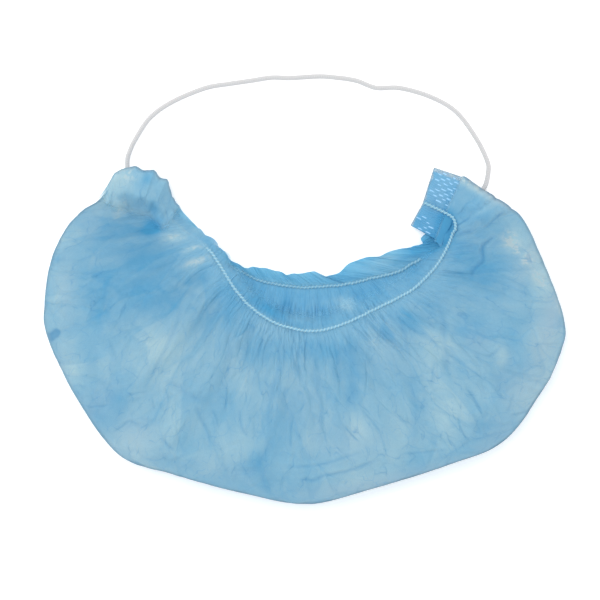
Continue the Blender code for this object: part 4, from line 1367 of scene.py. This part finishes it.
# The left end's fold: a lobe of the front wall's cloth over the left tab. In the tab's own
# directions, 'along' and 'reach' give its outline, and 'top' how high it stands, in metres.
# Across it, plan distance and height follow the rows of 'bend'.
leftFold = {
    "columns": ("share", "along", "reach", "top"),
    "rows": (
        (0.00, 0.0235, -0.0140, 0.0080),
        (0.10, 0.0218, -0.0070, 0.0090),
        (0.20, 0.0203, 0.0020, 0.0110),
        (0.30, 0.0168, 0.0055, 0.0150),
        (0.40, 0.0119, 0.0080, 0.0190),
        (0.45, 0.0096, 0.0076, 0.0200),
        (0.55, 0.0040, 0.0098, 0.0212),
        (0.59, 0.0026, 0.0092, 0.0205),
        (0.64, 0.0001, 0.0076, 0.0196),
        (0.70, -0.0028, 0.0080, 0.0185),
        (0.78, -0.0063, 0.0041, 0.0150),
        (0.87, -0.0103, 0.0003, 0.0115),
        (0.94, -0.0135, -0.0013, 0.0095),
        (1.00, -0.0168, -0.0045, 0.0085),
    ),
    "bendColumns": ("share", "plan", "rise"),
    "bend": (
        (0.00, 0.00, 0.00),
        (0.20, 0.24, 0.42),
        (0.40, 0.52, 0.86),
        (0.55, 0.74, 1.00),
        (0.68, 0.92, 0.93),
        (0.78, 1.00, 0.68),
        (0.88, 1.01, 0.36),
        (1.00, 0.97, 0.00),
    ),
    "sizes": (150, 90),
    "base": -0.0150,
    "baseFollows": 0.6,
    "baseVaries": 0.0030,
    "foot": 0.0040,
    "fallsFrom": 0.55,
    "near": 0.0016,
    "wallMargin": 0.003,
    "wallStep": 3,
    "clear": 0.0003,
    "sunk": 0.0008,
    "stepUp": 0.0012,
    "fullAlong": 1.3,
    "fullReach": 1.6,
    "relief": 0.5,
    "pleatDepth": 0.00025,
    "edgeFrom": (0.05, 0.22),
    "endFrom": (0.03, 0.09),
    "crease": 0.5,
    "facetShading": 0.4,
    "inner": 0.35,
    # How much the lobe's fading edge is painted paler: painted light
    "fadeLight": 0.6,
    # The lobe's outline, where it turns down to its foot, gets a line of painted shade: its strength,
    # place and width
    "outlineShade": 0.6,
    "outlineShadeAt": (0.77, 0.04),
}


# The front wall's height below each place: the mean of the wall's points, each weighted
# exp(-(distance / near)^2), and 0 where no wall is near
def wallUnder(flat):
    near, margin = leftFold["near"], leftFold["wallMargin"]
    quarter = len(dressed.share) // 4
    wall = dressed.moved[dressed.rim : dressed.foldRow + 1, :quarter].reshape(-1, 3)
    low, high = flat.min(axis=(0, 1)) - margin, flat.max(axis=(0, 1)) + margin
    wall = wall[((wall > low) & (wall < high))[:, :2].all(axis=1)][:: leftFold["wallStep"]]
    east = (flat[..., 0].ravel()[:, None] - wall[:, 0]) / near
    north = (flat[..., 1].ravel()[:, None] - wall[:, 1]) / near
    weight = np.exp(-(east**2) - north**2)
    total = weight.sum(axis=1)
    mean = weight @ wall[:, 2] / (total + 1e-6)
    return (mean * smoothStep(total / 0.1)).reshape(flat.shape[:2])


# u runs along the lobe's outline and v from its seam on the wall to its foot. A point is base +
# (outline - base) * plan, at below + (top - below) * rise, and lies on the wall near the seam.
def makeLeftFold():
    u, v = (np.linspace(0, 1, size) for size in leftFold["sizes"])
    row = readTable(leftFold["columns"], leftFold["rows"], u)
    bend = readTable(leftFold["bendColumns"], leftFold["bend"], v)
    v = v[:, None]
    plan, rise = bend["plan"][:, None], bend["rise"][:, None]
    base = np.minimum(row["reach"] - leftFold["base"], 0) * leftFold["baseFollows"]
    base = leftFold["base"] + base + leftFold["baseVaries"] * noise(u * 7, 0.4, 903)
    along = row["along"] * (0.80 + 0.20 * plan)
    reach = base + (row["reach"] - base) * plan
    flat = leftTab["centre"] + along[..., None] * leftTab["along"]
    flat = flat + reach[..., None] * leftTab["across"]
    under = wallUnder(flat)
    foot, top = leftFold["foot"], row["top"]
    below = np.where(v > leftFold["fallsFrom"], foot, under[0] + leftFold["clear"])
    height = below + (top - below) * rise
    inEnds = np.minimum(u, 1 - u)
    held = rising(v, 0.10, 0.30) * rising(inEnds, 0.0, 0.16)
    held = np.maximum(held, rising(v, 0.35, 0.25))
    out = np.minimum(smoothStep(v / 0.08), smoothStep(inEnds / 0.05))
    under = under + leftFold["stepUp"] * out - leftFold["sunk"]
    flat[..., 2] = under + (np.maximum(height, under) - under) * held
    outward = gridNormals(flat)
    outward = outward * np.sign(outward[len(v) // 3, len(u) // 2, 2])
    uv = np.stack([along * leftFold["fullAlong"], reach * leftFold["fullReach"]], axis=-1)
    relief, crease, facetShading = crumples(uv[..., 0] + 2.0, uv[..., 1], 900)
    pleat = noise(u * 26, v * 2.0, 901) + 0.5 * noise(u * 55, v * 3.0, 902)
    relief = leftFold["relief"] * relief + leftFold["pleatDepth"] * pleat
    edge = rising(v, *leftFold["edgeFrom"]) * rising(inEnds, *leftFold["endFrom"])
    flat = flat + outward * (edge * relief)[..., None]
    # Where the lobe's edge fades its tone is raised: painted light that evens out the shade the
    # half-clear edge casts on the wall below
    tone = cloth["base"] + leftFold["facetShading"] * facetShading + leftFold["fadeLight"] * edge * (1 - edge)
    outlineShadeAt, outlineShadeWidth = leftFold["outlineShadeAt"]
    look = {
        "crease": crease * leftFold["crease"],
        "tone": tone + cloth["patch"] * patches(flat, toneRows),
        "worn": patches(flat, wornRows),
        "milky": patches(flat, milkyRows),
        # The whole lobe counts as inner: it passes less light and takes some of the inside colour's
        # painted shade
        "inner": np.full(edge.shape, leftFold["inner"]),
        "edge": edge,
        "outlineShade": leftFold["outlineShade"] * bell((v - outlineShadeAt) / outlineShadeWidth) * edge,
    }
    turnedOver = {label: values[::-1] for label, values in look.items()}
    grid = clothGrid(flat[::-1], turnedOver, uv[::-1])
    rows, columns = flat.shape[:2]
    piece = addPanel("left_end_fold", grid, 0, rows - 1, 0, columns - 1, nonwovenBlue)
    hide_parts("left_weld_tab")


makeLeftFold()
print("left end folded")


# The elastics lie on the cloth along both rims, each with a thread wound over it. The front one
# bends round onto the right tab, and the cloth covers its left end.
elastics = {
    "radius": 0.00050,
    "flatten": 0.65,
    "sides": 12,
    "threadRadius": 0.00023,
    "threadPitch": 0.0017,
    "threadIn": 0.6,
    "threadSides": 6,
    "pointsPerTurn": 9,
    "points": 620,
    "everyColumn": 18,
    "lift": 0.0006,
    "bend": ((0.0690, 0.0469), (0.0690, 0.0500), (0.0674, 0.0530)),
    "bendFrom": 48,
    "bendNear": (80, 0.0012),
    "overTab": (0.25, 0.42, 0.58, 0.74, 0.88),
    "overSlab": 0.0010,
    "underCloth": (0.17, 0.03, 0.0011),
    "backFree": (0.07, 0.15),
    "white": (0.25, 0.48, 0.60, 1.0),
    "shade": (0.16, 0.37, 0.53, 1.0),
    "thread": (0.40, 0.62, 0.69, 1.0),
    "ribs": (0.0009, 0.00005),
    "threadRibs": (0.0006, 0.00003),
}


# A thread's path: the elastic's path + radius * (cos(a) * side + flatten * sin(a) * lift), a full
# turn of a for each pitch
def windingPath(path, radius):
    turns = np.linalg.norm(np.diff(path, axis=0), axis=1).sum() / elastics["threadPitch"]
    shares = np.linspace(0, 1, int(turns * elastics["pointsPerTurn"]))
    line = alongCurve(path, shares, steps=4)
    side, lift = squareTo(line)
    a = np.linspace(0, 2 * math.pi * turns, len(line))[:, None]
    return line + radius * (np.cos(a) * side + elastics["flatten"] * np.sin(a) * lift)


# A tube along the smooth path, and the thread as a thinner tube wound into its surface
def makeElastic(name, path, node, finish, threadFinish):
    radius, threadRadius = elastics["radius"], elastics["threadRadius"]
    line = alongCurve(path, np.linspace(0, 1, elastics["points"]))
    strand = addTube(name, line, radius, elastics["sides"], finish, elastics["flatten"])
    wound = windingPath(line, radius + (1 - elastics["threadIn"]) * threadRadius)
    thread = addTube(name + "_thread", wound, threadRadius, elastics["threadSides"], threadFinish)
    for piece in (strand, thread):
        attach(piece, "root")
        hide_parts(node)


# The front path: the rim + outward * lift, three points of the bend on the cloth below them, and
# the tab's inner line + shares of its width. The back path is the rim alone.
def makeElastics():
    white, shade, stitch = (elastics[name] for name in ("white", "shade", "thread"))
    finish = knittedFinish("edgeElasticWhite", white, shade, *elastics["ribs"])
    thread = knittedFinish("stitchThread", stitch, white, *elastics["threadRibs"])
    points, rim, backRim = dressed.moved, dressed.rim, dressed.backRim
    lift, every = elastics["lift"], elastics["everyColumn"]
    outward = gridNormals(points)
    until, run, depth = elastics["underCloth"]
    covered = 1 - smoothStep((dressed.share - until) / run)
    lifts = lift - (lift + depth) * covered
    frontPath = points[rim] + outward[rim] * lifts[:, None]
    frontPath = frontPath[: -elastics["bendFrom"] : every]
    bend = np.array(elastics["bend"])
    columns, near = elastics["bendNear"]
    around = points[: dressed.foldRow + 1, -columns:].reshape(-1, 3)
    away = np.linalg.norm(around[None, :, :2] - bend[:, None], axis=2)
    tops = np.where(away < near, around[:, 2], slabTop).max(axis=1)
    bend = np.column_stack([bend, tops + lift])
    across = np.array(elastics["overTab"])[:, None] * weld["width"] * rightTab["across"]
    overTab = rightTab["centre"] + across
    overTab[:, 2] = slabTop + elastics["overSlab"]
    first, last = (int(free * len(dressed.share)) for free in elastics["backFree"])
    backPath = (points[backRim] - outward[backRim] * lift)[first:-last:every]
    frontPath = np.vstack([frontPath, bend, overTab])
    makeElastic("front_elastic", frontPath, "front_edge_elastic", finish, thread)
    makeElastic("back_elastic", backPath, "back_edge_elastic", finish, thread)


makeElastics()
print("elastics made")


# A place on a tab's middle, as in the model: it leaves its inner line level and bends up to its
# standing angle over the bend's length
def tabPlace(tab, along, across):
    run = np.linspace(0, 1.2 * weld["width"], 240)
    angle = math.radians(tab["standDeg"]) * smoothStep(run / weld["bendLength"])
    flat = np.interp(across, run, np.cumsum(np.cos(angle)) * (run[1] - run[0]))
    flat = flat + np.minimum(across, 0)
    raised = np.interp(across, run, np.cumsum(np.sin(angle)) * (run[1] - run[0]))
    turn = np.interp(across, run, angle)
    middle = tab["centre"] + along[..., None] * tab["along"] + flat[..., None] * tab["across"]
    middle = middle + (weld["lift"] + weld["thickness"] / 2 + raised)[..., None] * up
    outward = np.cos(turn)[..., None] * up - np.sin(turn)[..., None] * tab["across"]
    return middle, outward


# Distances along and across a tab: 'step' runs along the line, 'part' from it to the cut end
def tabGrid(tab, step, part):
    above, below = tab["above"], tab["below"]
    end = tab["cutEnd"]
    lengths = np.where(end[:, 0] < 0, below, above) * end[:, 0]
    corner = (lengths + below) / (above + below)
    corner = (corner - corner[0]) / (corner[-1] - corner[0])
    cutAlong = np.interp(step, corner, lengths)
    cutAcross = np.interp(step, corner, end[:, 1] * weld["width"])
    inner = -below + (above + below) * step
    along = inner[:, None] + (cutAlong - inner)[:, None] * part
    across = -weld["tuck"] + (cutAcross + weld["tuck"])[:, None] * part
    along = along - weld["taper"] * smoothStep(-across / weld["tuck"]) * step[:, None]
    return along, across


# A closed slab from two grids of the same size: the upper, the lower turned over and a rim
def closedSlab(upper, lower):
    rows, columns = upper.shape[:2]
    index = np.arange(rows * columns).reshape(rows, columns)
    quads = gridFaces(rows, columns)
    rim = np.concatenate([index[0, :-1], index[:-1, -1], index[-1, :0:-1], index[:0:-1, 0]])
    following = np.roll(rim, -1)
    below = rows * columns
    sides = np.stack([rim, following, following + below, rim + below], axis=-1)
    faces = np.concatenate([quads, quads[:, ::-1] + below, sides])
    return np.concatenate([upper.reshape(-1, 3), lower.reshape(-1, 3)]), faces


# Turns all faces of a closed mesh outward
def faceOutward(made):
    shape = bmesh.new()
    shape.from_mesh(made.data)
    bmesh.ops.recalc_face_normals(shape, faces=shape.faces)
    shape.to_mesh(made.data)
    shape.free()


# How the tabs look, and the weld marks' sizes. 'bare' is the stretch of the tab without marks, as
# shares of its length, and 'kept' how many of the marks are there below and above it.
tabLook = {
    # The tab's tone and 'dark' paint it deeper than the cloth: partly its welded layers, partly
    # painted shade that offsets its flat top lying open to the sky. 'valley' is painted shade in the
    # hollows of its pleats.
    "tone": 0.33,
    "toneBelow": -0.12,
    "patch": 0.5,
    "dark": 0.78,
    "valley": 0.35,
    "cover": 0.03,
    "through": 0.20,
    "lean": 0.8,
    "cutMargin": 0.93,
    "topMargin": 0.0026,
    "ragged": 0.04,
    "marginWorn": 0.35,
    "marginMilky": 1.1,
    "marginClear": 0.35,
    "outlineShade": 0.6,
    "mark": (0.36, 0.62, 0.86, 1.0),
    "markShade": (0.16, 0.42, 0.68, 1.0),
    "grainScale": 1800.0,
    "grainDepth": 0.00004,
    "markRoughness": 0.4,
    "markPlaces": 6,
    "markPitch": 0.00138,
    "markLength": 0.0026,
    "markGap": 0.0020,
    "markWidth": 0.00062,
    "markHeight": 0.00012,
    "markSunk": 0.0001,
    "markFrom": 0.0022,
    "markTo": 0.84,
    "markTop": 0.90,
    "bare": (0.24, 0.50),
    "kept": (0.65, 0.97),
}


# The slab's upper side: half the thickness - depth * (1 - lean), and the lower depth * lean, where
# lean is a pleat's long slope up and short step down along the line
def makeTab(name, tab, finish, node):
    step = np.linspace(0, 1, weld["rows"])
    part = np.linspace(0, 1, weld["columns"])
    along, across = tabGrid(tab, step, part)
    middle, outward = tabPlace(tab, along, across)
    phase = (along / weld["pleatPitch"] + 0.5 * noise(across * 120, along * 90, 71)) % 1.0
    slope = tabLook["lean"]
    lean = np.where(phase < slope, phase / slope, (1 - phase) / (1 - slope))
    depth = weld["pleatDepth"] * (0.6 + 0.8 * np.abs(noise(along * 160, across * 90, 72)))
    tucked = smoothStep((0.0008 - across) / (weld["tuck"] + 0.0008))
    half = weld["thickness"] / 2 * (1 - 0.6 * tucked)
    top = (half - depth * (1 - lean))[..., None]
    bottom = (half - depth * lean)[..., None]
    points, faces = closedSlab(middle + outward * top, middle - outward * bottom)
    toCut = across / across[:, -1:]
    toTop = (1 - step)[:, None] * (tab["above"] + tab["below"])
    ragged = tabLook["ragged"] * noise(along * 400, 0.5, 73)
    byCut = smoothStep((toCut - tabLook["cutMargin"] + ragged) / 0.05)
    byTop = smoothStep((tabLook["topMargin"] - toTop + 0.02 * ragged) / 0.0010)
    margin = np.maximum(byCut, byTop)
    # The pleats' hollows are painted darker: painted shade
    valley = smoothStep((0.45 - lean) / 0.45)
    # Deeper than the cloth, partly welded layers and partly painted shade, and darker still below the
    # elastic's crossing
    tone = tabLook["tone"] + tabLook["toneBelow"] * smoothStep(-along / 0.003)
    # Dark lines along the tab's cut end and top edge: painted shade on its outline
    outlineShade = bell((1 - toCut) / 0.025) + bell((1 - step)[:, None] / 0.014)
    look = {
        "crease": tabLook["dark"] + tabLook["valley"] * valley * (1 - tucked),
        "tone": tone + tabLook["patch"] * patches(middle, toneRows),
        "worn": patches(middle, wornRows) + tabLook["marginWorn"] * margin,
        "milky": tabLook["marginMilky"] * margin,
        "inner": np.zeros(margin.shape),
        "edge": 1 - tabLook["marginClear"] * margin,
        "outlineShade": tabLook["outlineShade"] * outlineShade,
    }
    both = {label: np.stack([look[label], look[label] * (label != "outlineShade")]) for label in look}
    uv = np.stack([across, along], axis=-1).reshape(-1, 2)
    made = addMesh(name, points, faces, finish, both, np.tile(uv, (2, 1)))
    faceOutward(made)
    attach(made, "root")
    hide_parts(node)


# The weld marks: rows of short raised dashes on the slab, staggered like bricks; each dash is a
# low dome, height * (1 - x^2) * (1 - y^2), on a small grid of its own
def makeWeldMarks(name, tab, finish):
    above, below = tab["above"], tab["below"]
    length, pitch = tabLook["markLength"], tabLook["markPitch"]
    every = length + tabLook["markGap"]
    rows = np.arange(1, int((above + below) / pitch))
    places = np.arange(0, tabLook["markPlaces"])
    rows, places = (grid.ravel() for grid in np.meshgrid(rows, places, indexing="ij"))
    alongAt = -below + rows * pitch
    acrossAt = tabLook["markFrom"] + places * every + (rows % 2) * every / 2
    low, high = (-below + share * (above + below) for share in tabLook["bare"])
    kept = ((alongAt < low) | (alongAt > high)) & (acrossAt < tabLook["markTo"] * weld["width"])
    kept &= alongAt < tabLook["markTop"] * above
    chance = np.random.default_rng(6).uniform(0, 1, kept.shape)
    kept &= chance < np.where(alongAt < low, *tabLook["kept"])
    alongAt, acrossAt = alongAt[kept, None, None], acrossAt[kept, None, None]
    jitter = np.random.default_rng(5).uniform(-1, 1, (3, len(alongAt), 1, 1))
    x, y = np.meshgrid(np.linspace(-1, 1, 5), np.linspace(-1, 1, 9), indexing="ij")
    along = alongAt + x * tabLook["markWidth"] / 2 + 0.00012 * jitter[0]
    across = acrossAt + y * length / 2 * (0.85 + 0.3 * jitter[2]) + 0.0004 * jitter[1]
    middle, outward = tabPlace(tab, along, across)
    dome = tabLook["markHeight"] * (1 - x**2) * (1 - y**2)
    rise = weld["thickness"] / 2 - tabLook["markSunk"] + dome
    points = middle + outward * np.broadcast_to(rise, along.shape)[..., None]
    starts = x.size * np.arange(len(alongAt))[:, None, None]
    faces = (gridFaces(*x.shape) + starts).reshape(-1, 4)
    made = addMesh(name, points.reshape(-1, 3), faces, finish)
    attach(made, "root")


# Both tabs in the welded cloth; the left one is hidden under its fold and has no marks
def makeTabs():
    welded = nonwovenFinish("weldedBlue", tabLook["cover"], tabLook["through"])
    makeTab("left_tab", leftTab, welded, "left_weld_tab")
    makeTab("right_tab", rightTab, welded, "right_weld_tab")
    mark = Finish("weldMark")
    grain = mark.noise(mark.place(), tabLook["grainScale"])
    paint = mark.mix(grain, tabLook["markShade"], tabLook["mark"])
    normal = mark.bump(grain, tabLook["grainDepth"])
    finish = mark.show(mark.principled(paint, tabLook["markRoughness"], normal))
    makeWeldMarks("right_weld_marks", rightTab, finish)


makeTabs()
print("tabs made")


# Floor and studio light: a white surface under an even white sky, with a soft lamp at upper left
studio = {
    "floorSize": 3.0,
    "floorLevel": -0.0002,
    "floorWhite": (0.95, 0.95, 0.95, 1.0),
    "floorShade": (0.94, 0.94, 0.95, 1.0),
    "floorGrain": 400.0,
    "floorRoughness": 0.9,
    "floorGlow": 0.18,
    "light": (1.0, 1.0, 1.0, 1.0),
    "sky": 1.08,
    "lampPlace": (-0.35, 0.45, 2.0),
    "lampSize": 0.8,
    "lampPower": 16.0,
}


def makeStudio():
    half, low = studio["floorSize"] / 2, studio["floorLevel"]
    corners = [(-half, -half, low), (half, -half, low), (half, half, low), (-half, half, low)]
    finish = Finish("paleFloor")
    grain = finish.noise(finish.place(), studio["floorGrain"])
    paint = finish.mix(grain, studio["floorWhite"], studio["floorShade"])
    glow = {"Emission_Color": studio["light"], "Emission_Strength": studio["floorGlow"]}
    shader = finish.principled(paint, studio["floorRoughness"], **glow)
    floor = addMesh("floor", corners, [(0, 1, 2, 3)], finish.show(shader))
    world = bpy.data.worlds.new("studioSky")
    world.use_nodes = True
    sky = world.node_tree.nodes["Background"].inputs
    sky["Color"].default_value = studio["light"]
    sky["Strength"].default_value = studio["sky"]
    bpy.context.scene.world = world
    lamp = bpy.data.lights.new("softLamp", "AREA")
    lamp.size = studio["lampSize"]
    lamp.energy = studio["lampPower"]
    placed = bpy.data.objects.new("softLamp", lamp)
    placed.location = studio["lampPlace"]
    toward = Vector((0, 0, 0)) - Vector(studio["lampPlace"])
    placed.rotation_euler = toward.to_track_quat("-Z", "Y").to_euler()
    bpy.context.scene.collection.objects.link(placed)
    bpy.context.scene.view_settings.view_transform = "Standard"


makeStudio()
print("studio lit")
